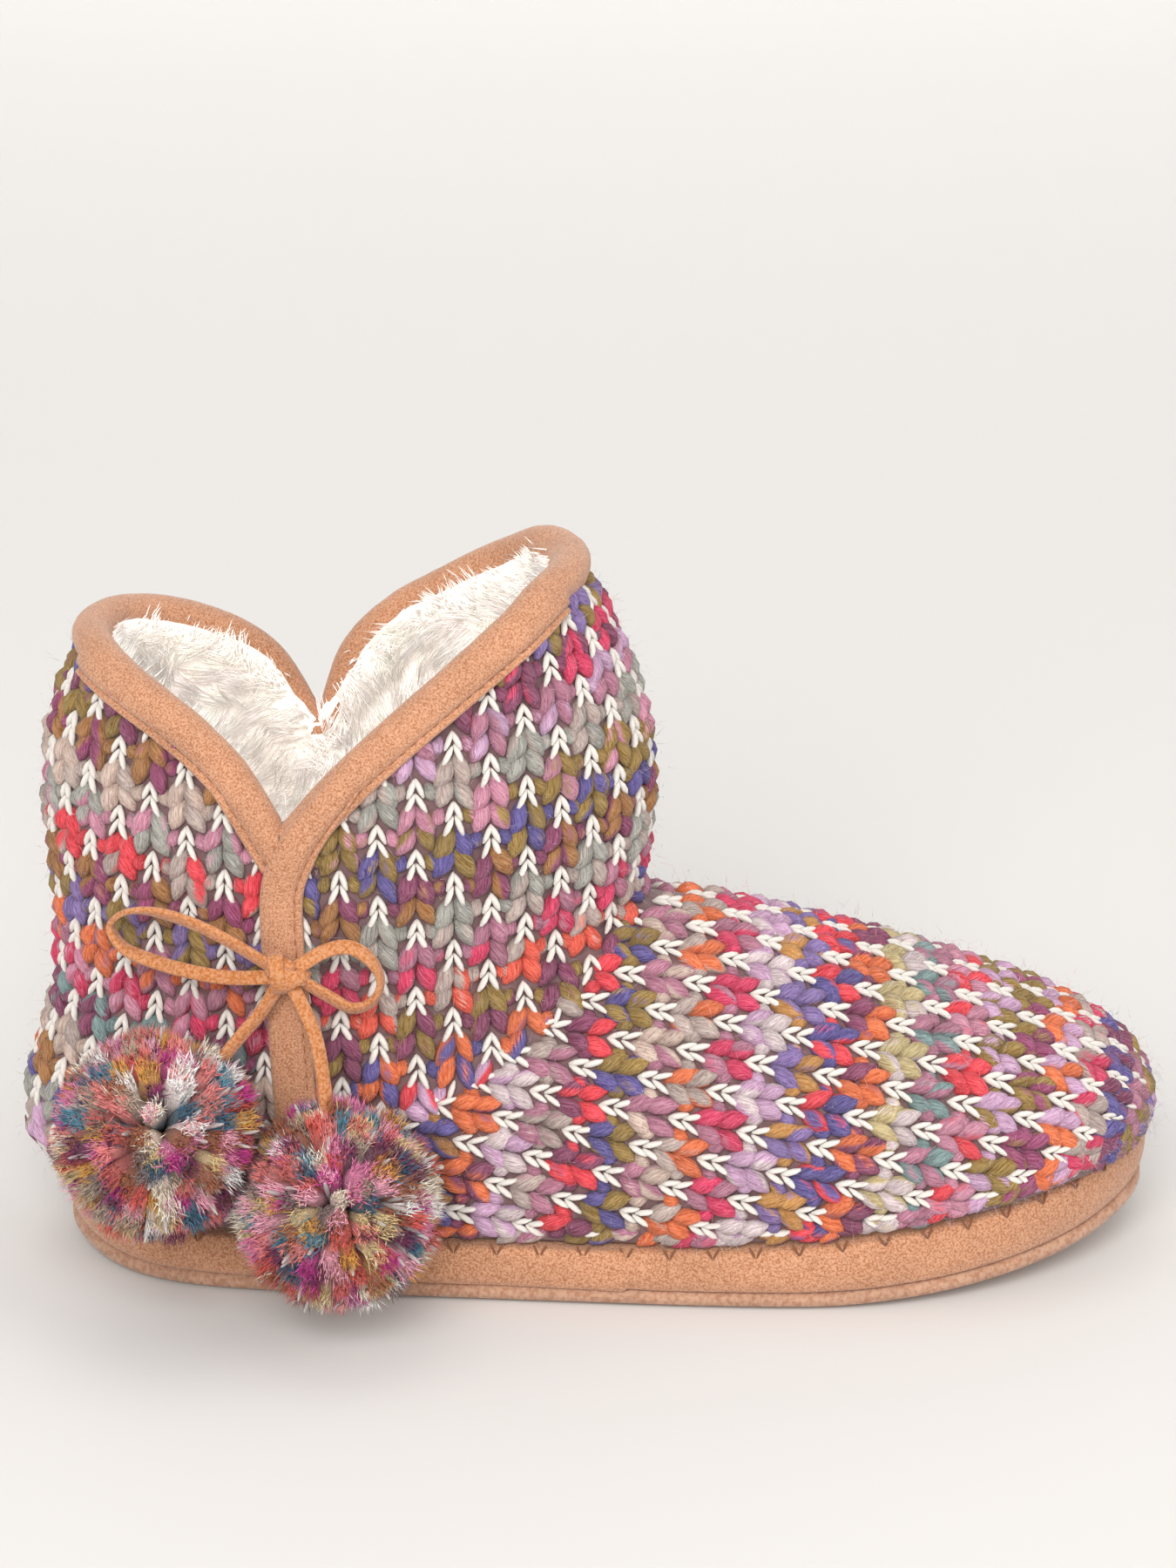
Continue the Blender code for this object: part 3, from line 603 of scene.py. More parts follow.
def fibre_group():
    """Fine fibres drawn out along a yarn: shade and height."""
    if "Yarn fibres" in bpy.data.node_groups:
        return bpy.data.node_groups["Yarn fibres"]
    inputs = [
        ("Place", "Vector", None), ("Shift", "Float", 0.0), ("Twist", "Float", 0.9),
        ("Fineness", "Float", 5.0),
    ]
    tree, start, end = new_tree("Yarn fibres", "Shader", inputs, [("Shade", "Float"), ("Height", "Float")])
    place, shift, twist, fineness = [start.outputs[k] for k in ("Place", "Shift", "Twist", "Fineness")]
    along = calc(tree, "MULTIPLY", parted(tree, place)[2], twist)
    values = {"Vector": place, "Axis": (0, 0, 1), "Angle": along}
    turned = node(tree, "ShaderNodeVectorRotate", values, rotation_type="AXIS_ANGLE").outputs[0]
    drawn = node(tree, "ShaderNodeVectorMath", {0: turned, 1: (1.0, 1.0, 0.14)}, operation="MULTIPLY")
    aside = node(tree, "ShaderNodeCombineXYZ", {0: shift, 2: shift}).outputs[0]
    moved = node(tree, "ShaderNodeVectorMath", {0: drawn.outputs[0], 1: aside}, operation="ADD")
    fine = mottle(tree, moved.outputs[0], fineness, 3.0, 0.65)
    tree.links.new(ranged(tree, fine, 0.32, 0.68, 0.0, 1.0), end.inputs["Shade"])
    tree.links.new(fine, end.inputs["Height"])
    return tree


def suede_group():
    """Brushed nap: fine grain pits, lighter tips and cloudy patches."""
    if "Suede nap" in bpy.data.node_groups:
        return bpy.data.node_groups["Suede nap"]
    tree, start, end = new_tree(
        "Suede nap", "Shader",
        [("Colour", "Color", (0.6, 0.3, 0.12, 1)), ("Grain", "Float", 1300.0), ("Depth", "Float", 0.5)],
        [("Colour", "Color"), ("Roughness", "Float"), ("Height", "Float")],
    )
    place, colour = object_place(tree), start.outputs["Colour"]
    grain = mottle(tree, place, start.outputs["Grain"], 2.0, 0.6)
    pits = ranged(tree, grain, 0.36, 0.60, 0.0, 1.0)
    patch = ranged(tree, mottle(tree, place, 70.0, 3.0, 0.55), 0.3, 0.7, 0.90, 1.08)
    dark = mix(tree, 1.0, colour, (0.62, 0.54, 0.48, 1), "MULTIPLY")
    light = mix(tree, 0.16, colour, (1.0, 0.78, 0.60, 1))
    nap = mix(tree, pits, mix(tree, start.outputs["Depth"], colour, dark), light)
    tree.links.new(mix(tree, 1.0, nap, grey(tree, patch), "MULTIPLY"), end.inputs["Colour"])
    tree.links.new(ranged(tree, grain, 0.3, 0.7, 0.98, 0.82), end.inputs["Roughness"])
    tree.links.new(grain, end.inputs["Height"])
    return tree


def new_material(name, sheen=0.0):
    """A rough material with a little sheen: the material, its nodes and its shader."""
    mat = bpy.data.materials.new(name)
    mat.use_nodes = True
    shader = mat.node_tree.nodes["Principled BSDF"]
    shader.inputs["Roughness"].default_value = 0.9
    shader.inputs["Specular IOR Level"].default_value = 0.2
    shader.inputs["Sheen Weight"].default_value = sheen
    shader.inputs["Sheen Roughness"].default_value = 0.55
    return mat, mat.node_tree, shader


def paint(tree, shader, colour, plain):
    """Base colour from nodes, over a plain one."""
    tree.links.new(colour, shader.inputs["Base Color"])
    shader.inputs["Base Color"].default_value = (*plain, 1)


def bump(tree, shader, height, strength, distance):
    """Fine relief from a height."""
    made = node(tree, "ShaderNodeBump", {"Strength": strength, "Distance": distance, "Height": height})
    tree.links.new(made.outputs[0], shader.inputs["Normal"])


def painted_glow(shader, glow):
    """Painted glow: emission that brightens deep white pile, standing in for light that finds its way through
    it.
    """
    shader.inputs["Emission Color"].default_value = (1.0, 0.90, 0.82, 1)
    shader.inputs["Emission Strength"].default_value = glow


def suede_material(name, colour, grain, depth, relief=0.00035):
    """Brushed suede of one colour."""
    mat, tree, shader = new_material(name, 0.25)
    values = {"Colour": (*colour, 1.0), "Grain": grain, "Depth": depth}
    nap = node(tree, "ShaderNodeGroup", values, node_tree=suede_group()).outputs
    paint(tree, shader, nap["Colour"], colour)
    tree.links.new(nap["Roughness"], shader.inputs["Roughness"])
    bump(tree, shader, nap["Height"], 0.55, relief)
    return mat


def yarn_material(name, deep, fineness):
    """Two plies of dyed yarn, one colour winding past the other, with painted shade darkening each leg's
    underside by the share given.
    """
    mat, tree, shader = new_material(name, 0.07)
    first, second = attribute(tree, "yarn_a"), attribute(tree, "yarn_b")
    place = attribute(tree, "lobe_co")["Vector"]
    shift = calc(tree, "MULTIPLY", second["Alpha"], 40.0)
    values = {"Fineness": fineness, "Place": place, "Shift": shift}
    fibres = node(tree, "ShaderNodeGroup", values, node_tree=fibre_group()).outputs
    x, y, z = parted(tree, place)
    turn = calc(tree, "ADD", calc(tree, "MULTIPLY", second["Alpha"], 6.283), calc(tree, "MULTIPLY", z, 0.5))
    across = calc(
        tree, "ADD",
        calc(tree, "MULTIPLY", x, calc(tree, "COSINE", turn)),
        calc(tree, "MULTIPLY", y, calc(tree, "SINE", turn)),
    )
    frayed = calc(tree, "ADD", across, calc(tree, "MULTIPLY_ADD", fibres["Shade"], 0.34, -0.17))
    edge = calc(tree, "MULTIPLY_ADD", first["Alpha"], 2.0, -1.0)
    share = ranged(tree, calc(tree, "SUBTRACT", frayed, edge), -0.16, 0.16, 0.0, 1.0)
    ply = mix(tree, share, first["Color"], second["Color"])
    dark = mix(tree, 1.0, ply, (0.44, 0.36, 0.38, 1), "MULTIPLY")
    pale = mix(tree, 0.11, ply, (0.95, 0.90, 0.86, 1))
    worn = mix(tree, fibres["Shade"], dark, pale)
    # Painted shade: each leg darker on its underside.
    shadow = grey(tree, ranged(tree, z, -1.0, 0.4, deep, 1.0))
    paint(tree, shader, mix(tree, 1.0, worn, shadow, "MULTIPLY"), (0.4, 0.22, 0.25))
    bump(tree, shader, fibres["Height"], 0.7, 0.0007)
    return mat


def white_material(name, colour, fineness, twist, low):
    """Pale yarn with fine fibres drawn along it."""
    mat, tree, shader = new_material(name, 0.2)
    values = {"Fineness": fineness, "Twist": twist, "Place": attribute(tree, "lobe_co")["Vector"]}
    fibres = node(tree, "ShaderNodeGroup", values, node_tree=fibre_group()).outputs
    shade = mix(tree, fibres["Shade"], (*[c * low for c in colour], 1), (*colour, 1))
    paint(tree, shader, shade, colour)
    bump(tree, shader, fibres["Height"], 0.6, 0.0005)
    return mat


def tint_material(name, sheen, deep, plain, glow=0.0):
    """Loose fibres that carry their own colour, with painted shade darker towards the root and, when a glow
    is given, a painted glow.
    """
    mat, tree, shader = new_material(name, sheen)
    along = parted(tree, attribute(tree, "strand_co")["Vector"])[2]
    # Painted shade: each strand darker towards its root.
    shade = grey(tree, ranged(tree, along, 0.0, 0.85, deep, 1.0))
    paint(tree, shader, mix(tree, 1.0, attribute(tree, "tint")["Color"], shade, "MULTIPLY"), plain)
    # Painted glow, when one is given.
    painted_glow(shader, glow)
    return mat


def cloth_material(name, colour, scale, relief, spread=0.25, glow=0.0):
    """Plain woven or brushed ground with soft mottling, and a painted glow when one is given."""
    mat, tree, shader = new_material(name, 0.2)
    grain = mottle(tree, object_place(tree), scale, 4.0, 0.6)
    low = [c * (1 - spread) for c in colour]
    high = [min(1.0, c * (1 + spread)) for c in colour]
    paint(tree, shader, mix(tree, grain, (*low, 1), (*high, 1)), colour)
    # Painted glow, when one is given.
    painted_glow(shader, glow)
    bump(tree, shader, grain, 0.6, relief)
    return mat


# Geometry node trees


def named(tree, name):
    """A point's own vector by its name."""
    made = node(tree, "GeometryNodeInputNamedAttribute", {"Name": name}, data_type="FLOAT_VECTOR")
    return made.outputs["Attribute"]


def note_place(tree, geometry, name):
    """Template with its own positions kept under a name for its material, and those positions."""
    where = node(tree, "GeometryNodeInputPosition").outputs[0]
    values = {"Geometry": geometry, "Name": name, "Value": where}
    noted = node(tree, "GeometryNodeStoreNamedAttribute", values, data_type="FLOAT_VECTOR", domain="POINT")
    return noted.outputs[0], where


def instanced(tree, start, end, template, primary, secondary, size):
    """Template on every point, turned to the point's own axes, made real and given its material."""
    axes = {0: named(tree, primary), 1: named(tree, secondary)}
    turn = node(tree, "FunctionNodeAxesToRotation", axes, primary_axis="Z", secondary_axis="X").outputs[0]
    points = start.outputs["Geometry"]
    values = {"Points": points, "Instance": template, "Rotation": turn, "Scale": named(tree, size)}
    made = node(tree, "GeometryNodeInstanceOnPoints", values).outputs[0]
    made = node(tree, "GeometryNodeRealizeInstances", {"Geometry": made}).outputs[0]
    made = node(tree, "GeometryNodeSetShadeSmooth", {"Geometry": made, "Shade Smooth": True}).outputs[0]
    values = {"Geometry": made, "Material": start.outputs["Material"]}
    made = node(tree, "GeometryNodeSetMaterial", values).outputs[0]
    tree.links.new(made, end.inputs["Geometry"])


def lobe_tree():
    """Puffs of yarn on points: a leaf-shaped ball, long in its own x, with its ends tucked down."""
    if "Yarn lobes" in bpy.data.node_groups:
        return bpy.data.node_groups["Yarn lobes"]
    inputs = [
        ("Geometry", "Geometry", None), ("Length", "Float", 0.0086), ("Width", "Float", 0.0048),
        ("Puff", "Float", 0.0046), ("Taper", "Float", 0.3), ("Drop", "Float", 0.0), ("Tuck", "Float", 0.001),
        ("Segments", "Int", 10), ("Rings", "Int", 9), ("Material", "Material", None),
    ]
    tree, start, end = new_tree("Yarn lobes", "Geometry", inputs, [("Geometry", "Geometry")])
    own = start.outputs
    values = {"Segments": own["Segments"], "Rings": own["Rings"], "Radius": 1.0}
    ball = node(tree, "GeometryNodeMeshUVSphere", values).outputs[0]
    noted, where = note_place(tree, ball, "lobe_co")
    across, up, along = parted(tree, where)
    square = calc(tree, "MULTIPLY", along, along)
    round_off = calc(tree, "SUBTRACT", 1.0, calc(tree, "MULTIPLY", square, own["Taper"]))
    slim = calc(tree, "ADD", round_off, calc(tree, "MULTIPLY", along, own["Drop"]))
    half = {k: calc(tree, "MULTIPLY", own[k], 0.5) for k in ("Length", "Width", "Puff")}
    x = calc(tree, "MULTIPLY", along, half["Length"])
    y = calc(tree, "MULTIPLY", calc(tree, "MULTIPLY", across, slim), half["Width"])
    z = calc(tree, "MULTIPLY", calc(tree, "MULTIPLY", up, slim), half["Puff"])
    dipped = calc(tree, "SUBTRACT", z, calc(tree, "MULTIPLY", square, own["Tuck"]))
    shape = node(tree, "ShaderNodeCombineXYZ", {0: x, 1: y, 2: dipped}).outputs[0]
    leaf = node(tree, "GeometryNodeSetPosition", {"Geometry": noted, "Position": shape}).outputs[0]
    instanced(tree, start, end, leaf, "lobe_up", "lobe_way", "lobe_size")
    return tree


def strand_tree():
    """Fine three-sided strands on points, each drawn out to a tip."""
    if "Strands" in bpy.data.node_groups:
        return bpy.data.node_groups["Strands"]
    inputs = [("Geometry", "Geometry", None), ("Thickness", "Float", 0.0004), ("Material", "Material", None)]
    tree, start, end = new_tree("Strands", "Geometry", inputs, [("Geometry", "Geometry")])
    half = calc(tree, "MULTIPLY", start.outputs["Thickness"], 0.5)
    values = {"Vertices": 3, "Side Segments": 1, "Depth": 1.0, "Radius Bottom": half, "Radius Top": 0.0}
    cone = node(tree, "GeometryNodeMeshCone", values, fill_type="NGON").outputs[0]
    noted, _ = note_place(tree, cone, "strand_co")
    instanced(tree, start, end, noted, "strand_way", "strand_side", "strand_size")
    return tree


def on_points(name, tree, points, vectors, colours, settings):
    """A plain mesh from a geometry node tree run on points in millimetres with their own attributes."""
    mesh = bpy.data.meshes.new(name)
    mesh.from_pydata([tuple(float(c) * MM for c in p) for p in points], [], [])
    for label, values in vectors.items():
        data = mesh.attributes.new(label, "FLOAT_VECTOR", "POINT").data
        data.foreach_set("vector", np.array([tuple(v) for v in values], np.float32).ravel())
    for label, values in colours.items():
        data = mesh.attributes.new(label, "FLOAT_COLOR", "POINT").data
        data.foreach_set("color", np.array(values, np.float32).ravel())
    obj = add_object(name, mesh)
    modifier = obj.modifiers.new(tree.name, "NODES")
    modifier.node_group = tree
    for item in tree.interface.items_tree:
        if item.in_out == "INPUT" and item.name in settings:
            modifier[item.identifier] = settings[item.name]
    flatten(obj)
    obj.data.name = name
    obj.data.materials.clear()
    obj.data.materials.append(settings["Material"])
    obj.data.polygons.foreach_set("material_index", [0] * len(obj.data.polygons))
    for label in list(vectors):
        if label in obj.data.attributes:
            obj.data.attributes.remove(obj.data.attributes[label])
    return obj


# Knit


STRIP_EDGE = 2.0  # from the middle of a side tape to the knit beside it
FRONT_EDGE = 2.2  # the same for the knit of the shaft's front
VAMP_TOP = 11.0  # behind this x the shaft's seam bounds the vamp
VAMP_START = 13.0  # wales of the vamp run back to this x before they rise past the seam
VAMP_BACK = -60.0  # no wale of the vamp starts behind this x
VAMP_END = -72.0  # and none runs past this one
VAMP_TOE = 100.0  # from this x on, courses are counted along the wale
COURSE_LEAN = 0.13  # lean of the vamp's courses


def trace(start, way, stop, step=1.0, most=300):
    """Line over the knit from a start point, always heading the given way."""
    line = [Vector(start)]
    way = Vector(way)
    for _ in range(most):
        _, normal, _, _ = surfaces().find_nearest(line[-1])
        ahead = way - normal * way.dot(normal)
        if ahead.length < 0.12:
            break
        place = surfaces().find_nearest(line[-1] + ahead.normalized() * step)[0]
        if (place - line[-1]).length < 0.2 * step or stop(place):
            break
        line.append(place)
    return line


def ring(first, last, count):
    """Points at equal distances round the shaft."""
    line = []
    for k in range(RAYS + 1):
        turn = first + (last - first) * k / RAYS
        way = Vector((math.cos(turn), math.sin(turn), 0))
        line.append(surfaces().ray_cast(Vector((SHAFT_MIDDLE, 0, WALE_START)) + way * FAR_OUT, -way)[0])
    line = np.array(line)
    far = lengths(line)
    return at_length(line, far, (np.arange(count) + 0.5) / count * far[-1])


def band_top(x):
    """Height of the suede band's top edge."""
    return smooth(BAND_TOP, x)


def seam_z(x):
    """Height of the seam between the shaft and the vamp."""
    return float(np.interp(x, [p[0] for p in SHAFT_SEAM], [p[1] for p in SHAFT_SEAM]))


def sign_of(p):
    """Side of a point: -1 lateral, 1 medial."""
    return -1 if p[1] < 0 else 1


def under_collar(p):
    """True where the collar binding covers the knit."""
    sign = sign_of(p)
    if p[2] < COLLAR_LOW:
        return False
    nearest = min(
        math.hypot(p[0] - x, p[2] - crest_z(x, sign)) for x in np.linspace(p[0] - 14, p[0] + 14, 15)
    )
    return p[2] > crest_z(p[0], sign) - 1 or nearest < BINDING_DEPTH


def in_rear(p):
    """True where the rear knit shows."""
    behind = p[0] < strip_x(p[2], sign_of(p)) - STRIP_EDGE
    return behind and p[2] > band_top(p[0]) + 0.5 and not under_collar(p)


def in_front(p):
    """True where the knit of the shaft's front shows."""
    if p[2] < COLLAR_FOOT and p[2] < seam_z(p[0]) - 0.5:
        return False
    return p[0] > strip_x(p[2], sign_of(p)) + FRONT_EDGE and not under_collar(p)


def in_vamp(p):
    """True where the knit of the vamp shows."""
    if p[0] < VAMP_TOP and p[2] > seam_z(p[0]) + 1.0:
        return False
    return p[0] > strip_x(p[2], sign_of(p)) + STRIP_EDGE and p[2] > band_top(p[0]) + 0.3


def shaft_wales(first, last, count, repeat, apex_z, region):
    """Upright wales: each is a line down the knit with the places of its stitches."""
    wales = []
    for i, start in enumerate(ring(first, last, count)):
        up = trace(start, (0, 0, 1), lambda p: p.z > crest_z(p.x, sign_of(p)) - 3)
        down = trace(start, (0, 0, -1), lambda p: p.z < band_top(p.x) - 4)
        line = np.array(up[::-1] + down[1:])
        far = lengths(line) - lengths(np.array(up))[-1]
        top = WALE_START - apex_z(start[0])
        stitches = [(m, top + m * repeat / 2) for m in range(-2, 24) if m % 2 == i % 2]
        wales.append((line, far, stitches, region))
    return wales


def vamp_wales(repeat, spacing):
    """Wales along the foot, over the toe and down to the suede band."""
    section = []
    middle = Vector((VAMP_SECTION[0], 0, VAMP_SECTION[1]))
    for k in range(RAYS + 1):
        turn = math.pi * (k / RAYS)
        way = Vector((0, -math.cos(turn), math.sin(turn)))
        hit = surfaces().ray_cast(middle + way * FAR_OUT, -way)[0]
        if hit is not None:
            section.append(hit)
    section = np.array(section)
    far = lengths(section)
    top = far[int(np.argmax(section[:, 2]))]
    starts = []
    for k in range(-14, 15):
        want = top + (k + 0.5) * spacing
        if 2 < want < far[-1] - 2:
            starts.append((k, at_length(section, far, want)))
    for sign, lowest in ((-1, starts[0]), (1, starts[-1])):
        for m in range(1, 5):
            v = lowest[1][2] + VAMP_FALL * VAMP_SECTION[0] - m * (spacing + 0.6)
            x = (v - VAMP_LOW) / VAMP_FALL
            if x > VAMP_BACK:
                starts.append((lowest[0] + sign * m, np.array(side_point(x, VAMP_LOW, sign)[0])))
    wales = []
    for k, start in starts:
        ahead = trace(start, (1, 0, -VAMP_FALL), lambda p: p.z < band_top(p.x) - 3)
        back = trace(
            start, (-1, 0, VAMP_FALL),
            lambda p: p.x < VAMP_START and p.z > seam_z(p.x) + 6 or p.x < VAMP_END,
        )
        line = np.array(back[::-1] + ahead[1:])
        far = lengths(line)
        course = line[:, 0] - COURSE_LEAN * line[:, 2]
        toe = int(np.argmax(line[:, 0] > VAMP_TOE)) or len(line) - 1
        course = np.where(np.arange(len(line)) > toe, course[toe] + far - far[toe], course)
        course = np.maximum.accumulate(course + np.arange(len(line)) * 1e-6)
        stitches = []
        for m in range(len(VAMP_COURSES) + 2):
            want = VAMP_APEX + (m - VAMP_FIRST) * repeat / 2
            if m % 2 == k % 2 and course[0] - 20 < want < course[-1]:
                if want < course[0]:
                    stitches.append((m, far[0] - (course[0] - want)))
                else:
                    stitches.append((m, float(np.interp(want, course, far))))
        wales.append((line, far, stitches, in_vamp))
    return wales


def yarn_pair(courses, m, turn, rng):
    """Two colours for one leg of yarn, with the first's share; the pair swaps from leg to leg."""
    first, second = courses[m % len(courses)]
    if (turn % 2 == 0) != (rng.random() < 0.2):
        first, second = second, first
    draw = rng.random()
    low, high = (0.42, 0.60) if draw < 0.16 else (0.94, 1.0) if draw < 0.74 else (0.74, 0.88)
    share = rng.uniform(low, high)
    vary = rng.uniform(0.97, 1.28)
    one = [min(1.0, c * vary) for c in linear(SHADES[first])]
    two = [min(1.0, c * vary) for c in linear(SHADES[second])]
    return (*one, share), (*two, rng.random())


# One repeat down a wale: distance from the apex, distance to the side, spread in degrees and sink of each
# thick leg. The thin legs have their length before the sink, the knob its shares of a lobe's size.
THICK_LEGS = [(9.0, 2.05, 26.0, 1.55), (13.9, 2.2, 24.0, 1.6)]
THIN_LEGS = [(2.0, 0.95, 23.0, 5.2, 1.15), (5.3, 1.25, 25.0, 5.4, 0.95)]
THIN_LENGTH = 5.2
KNOB = (3.2, 3.55, 24.0, 0.58, 0.78, 2.1)


def lay(line, far, s, side, spread, tilt, sink, region):
    """Frame of one leg: its place under the knit's skin, its direction and outward direction."""
    if s < far[0] - 3 or s > far[-1] + 2:
        return None

    def at(t):
        return Vector(at_length(line, far, np.clip(t, far[0], far[-1])))

    here, ahead = at(s), at(s + 1.5) - at(s - 1.5)
    if ahead.length < 1e-6:
        return None
    here += ahead.normalized() * (s - float(np.clip(s, far[0], far[-1])))
    normal = surfaces().find_nearest(here)[1]
    across = normal.cross(ahead).normalized()
    place, normal, _, _ = surfaces().find_nearest(here + across * side)
    if normal.z < -0.7 or not region(place):
        return None
    way = Matrix.Rotation(math.radians(spread), 3, normal) @ (ahead - normal * ahead.dot(normal)).normalized()
    rise = math.radians(tilt)
    along = way * math.cos(rise) + normal * math.sin(rise)
    return place - normal * sink, along, normal * math.cos(rise) - way * math.sin(rise)


def stray(rng, spread=1.0):
    """A chance vector."""
    return Vector((rng.gauss(0, spread), rng.gauss(0, spread), rng.gauss(0, spread)))


class Legs:
    """Points and attributes gathered for one piece of yarn or thread."""

    def __init__(self):
        self.points, self.way, self.up, self.size, self.a, self.b = [], [], [], [], [], []

    def add(self, at, size, a=None, b=None):
        self.points.append(at[0])
        self.way.append(at[1])
        self.up.append(at[2])
        self.size.append(size)
        self.a.append(a)
        self.b.append(b)

    def build(self, name, settings, colours=True):
        shades = {"yarn_a": self.a, "yarn_b": self.b} if colours else {}
        axes = {"lobe_way": self.way, "lobe_up": self.up, "lobe_size": self.size}
        return on_points(name, lobe_tree(), self.points, axes, shades, settings)


class Hairs:
    """Points and attributes gathered for one piece made of strands."""

    def __init__(self):
        self.points, self.way, self.side, self.size, self.tint = [], [], [], [], []

    def add(self, point, way, size, tint, rng):
        self.points.append(point)
        self.way.append(way)
        self.side.append(stray(rng).cross(way).normalized())
        self.size.append(size)
        self.tint.append((*tint, 1.0))

    def build(self, name, settings):
        axes = {"strand_way": self.way, "strand_side": self.side, "strand_size": self.size}
        return on_points(name, strand_tree(), self.points, axes, {"tint": self.tint}, settings)


def knit_up(wales, courses, thick, thin, rng):
    """Lay every stitch of a group of wales into the bags for thick and thin yarn."""
    for line, far, stitches, region in wales:
        for m, s, sign in [(m, s, sign) for m, s in stitches for sign in (-1, 1)]:
            start = rng.randrange(2)
            for turn, (ds, side, spread, sink) in enumerate(THICK_LEGS, start):
                at = lay(
                    line, far, s + ds + rng.uniform(-0.7, 0.7), sign * side * rng.uniform(0.85, 1.1),
                    sign * spread * rng.uniform(0.65, 1.35), rng.uniform(6, 14),
                    sink + rng.uniform(-0.25, 0.25), region,
                )
                a, b = yarn_pair(courses, m, turn, rng)
                if at:
                    size = (rng.uniform(0.88, 1.08), rng.uniform(0.84, 1.08), rng.uniform(0.88, 1.1))
                    thick.add(at, size, a, b)
            ds, side, spread, long, wide, sink = KNOB
            at = lay(line, far, s + ds, sign * side, sign * spread, 0, sink, region)
            a, b = yarn_pair(courses, m - 1, rng.randrange(2), rng)
            if at:
                thick.add(at, (long, wide, rng.uniform(0.8, 0.95)), a, b)
            for ds, side, spread, long, sink in THIN_LEGS:
                at = lay(
                    line, far, s + ds + rng.uniform(-0.2, 0.2), sign * side,
                    sign * spread * rng.uniform(0.8, 1.2), 7, sink, region,
                )
                if at and at[0].z > band_top(at[0].x) + 2.6:
                    thin.add(at, (long / THIN_LENGTH, rng.uniform(0.9, 1.1), rng.uniform(0.95, 1.1)))


class SLIPPER_OT_knit(Operator):
    """Knit the upper: thick marled legs, thin white legs, a dark wall of painted shade between them and the
    loose fuzz
    """

    bl_idname = "slipper.knit"
    bl_label = "Knit upper"

    def execute(self, context):
        own = context.scene.slipper.knit
        rng = random.Random(own.seed)
        shaft, vamp = own.shaft_repeat / MM, own.vamp_repeat / MM
        side = -math.pi / 2 - SHAFT_TURN
        rear = shaft_wales(
            side, -1.5 * math.pi - SHAFT_TURN, 18, shaft, lambda x: 151.0 - 0.14 * (x + 124), in_rear,
        )
        front = shaft_wales(
            side, math.pi / 2 - SHAFT_TURN, 23, shaft, lambda x: 163.0 + 0.27 * (x - 8), in_front,
        )
        foot = vamp_wales(vamp, own.wale / MM * 0.94)
        # The knit's legs get painted shade on their undersides, down to 0.75.
        yarn = yarn_material("knit_yarn", 0.75, 7.0)
        white = white_material("white_yarn", tuple(own.white_colour), 3.0, 3.2, 0.74)
        thin = Legs()
        sizes = {
            "Length": own.lobe_length, "Width": own.lobe_width, "Puff": own.lobe_puff, "Taper": 0.52,
            "Drop": 0.06, "Tuck": 0.0009, "Segments": 8, "Rings": 7, "Material": yarn,
        }
        fuzz = []
        for name, wales, courses in (
            ("knit_rear", rear, REAR_COURSES),
            ("knit_front", front, FRONT_COURSES),
            ("knit_vamp", foot, VAMP_COURSES),
        ):
            thick = Legs()
            knit_up(wales, courses, thick, thin, rng)
            keep(thick.build(name, sizes), "knit", "upper")
            fuzz += list(zip(thick.points, thick.up, thick.a))
        whites = {
            "Length": THIN_LENGTH * MM, "Width": own.white_width, "Puff": own.white_width * 1.15,
            "Taper": 0.18, "Tuck": 0.0004, "Segments": 6, "Rings": 5, "Material": white,
        }
        keep(thin.build("knit_white", whites, False), "knit", "upper")
        self.ground(own)
        self.fuzz(fuzz, rng)
        return {"FINISHED"}

    def ground(self, own):
        """Thin dark wall in the middle of the knit that closes the gaps between its stitches: painted shade
        for those gaps.
        """
        bm = upper_bmesh()
        moves = [v.normal * -2.15 * MM for v in bm.verts]
        for v, move in zip(bm.verts, moves):
            if v.co.z / MM < band_top(v.co.x / MM) + 2.5:
                move.z = -0.6 * MM
            v.co += move
        mesh = mesh_from(bm, "knit_gap_shade")
        # The wall's dark mottled colour is painted shade, seen in the gaps between the stitches.
        dress(mesh, cloth_material("knit_gap_shade", tuple(own.gap_shade_colour), 420.0, 0.0008, 0.5))
        keep(add_object("knit_gap_shade", mesh), "knit", "upper")

    def fuzz(self, spots, rng):
        """Loose fibres standing off the yarn."""
        hairs = Hairs()
        for place, up, colour in spots:
            for _ in range(2):
                out = stray(rng).normalized()
                spot = place + up * 1.6 + stray(rng, 1.4)
                tint = [0.6 * c + 0.35 for c in colour[:3]]
                hairs.add(spot, (out + up * 0.7).normalized(), (1, 1, rng.uniform(1.8, 4.4) * MM), tint, rng)
        sizes = {"Thickness": 0.00009, "Material": tint_material("fuzz", 0.0, 1.0, (0.5, 0.33, 0.36))}
        keep(hairs.build("knit_fuzz", sizes), "knit", "upper")


# Collar and side strips


def shaft_at(z):
    """Front, back and half-width of the shaft at a height."""
    return [smooth(SHAFT, z, k) for k in (1, 2, 3)]


def shaft_point(turn, sign, z):
    """Place on the shaft by its turn round it and its height."""
    front, back, half = shaft_at(z)
    x = (front + back) / 2 + (front - back) / 2 * math.cos(turn)
    return np.array([x, sign * half * math.sin(turn), z])


def collar_point(turn, sign):
    """Outer top edge of the wall under the binding."""
    z = 140.0
    for _ in range(40):
        point = shaft_point(turn, sign, z)
        z = 0.5 * z + 0.5 * (crest_z(point[0], sign) - CREST_RISE)
    return shaft_point(turn, sign, z)


def notch_turn(sign):
    """Turn round the shaft at which the collar is deepest."""
    front, back, _ = shaft_at(NOTCH[sign][1] - CREST_RISE)
    return math.acos((NOTCH[sign][0] - (front + back) / 2) / ((front - back) / 2))


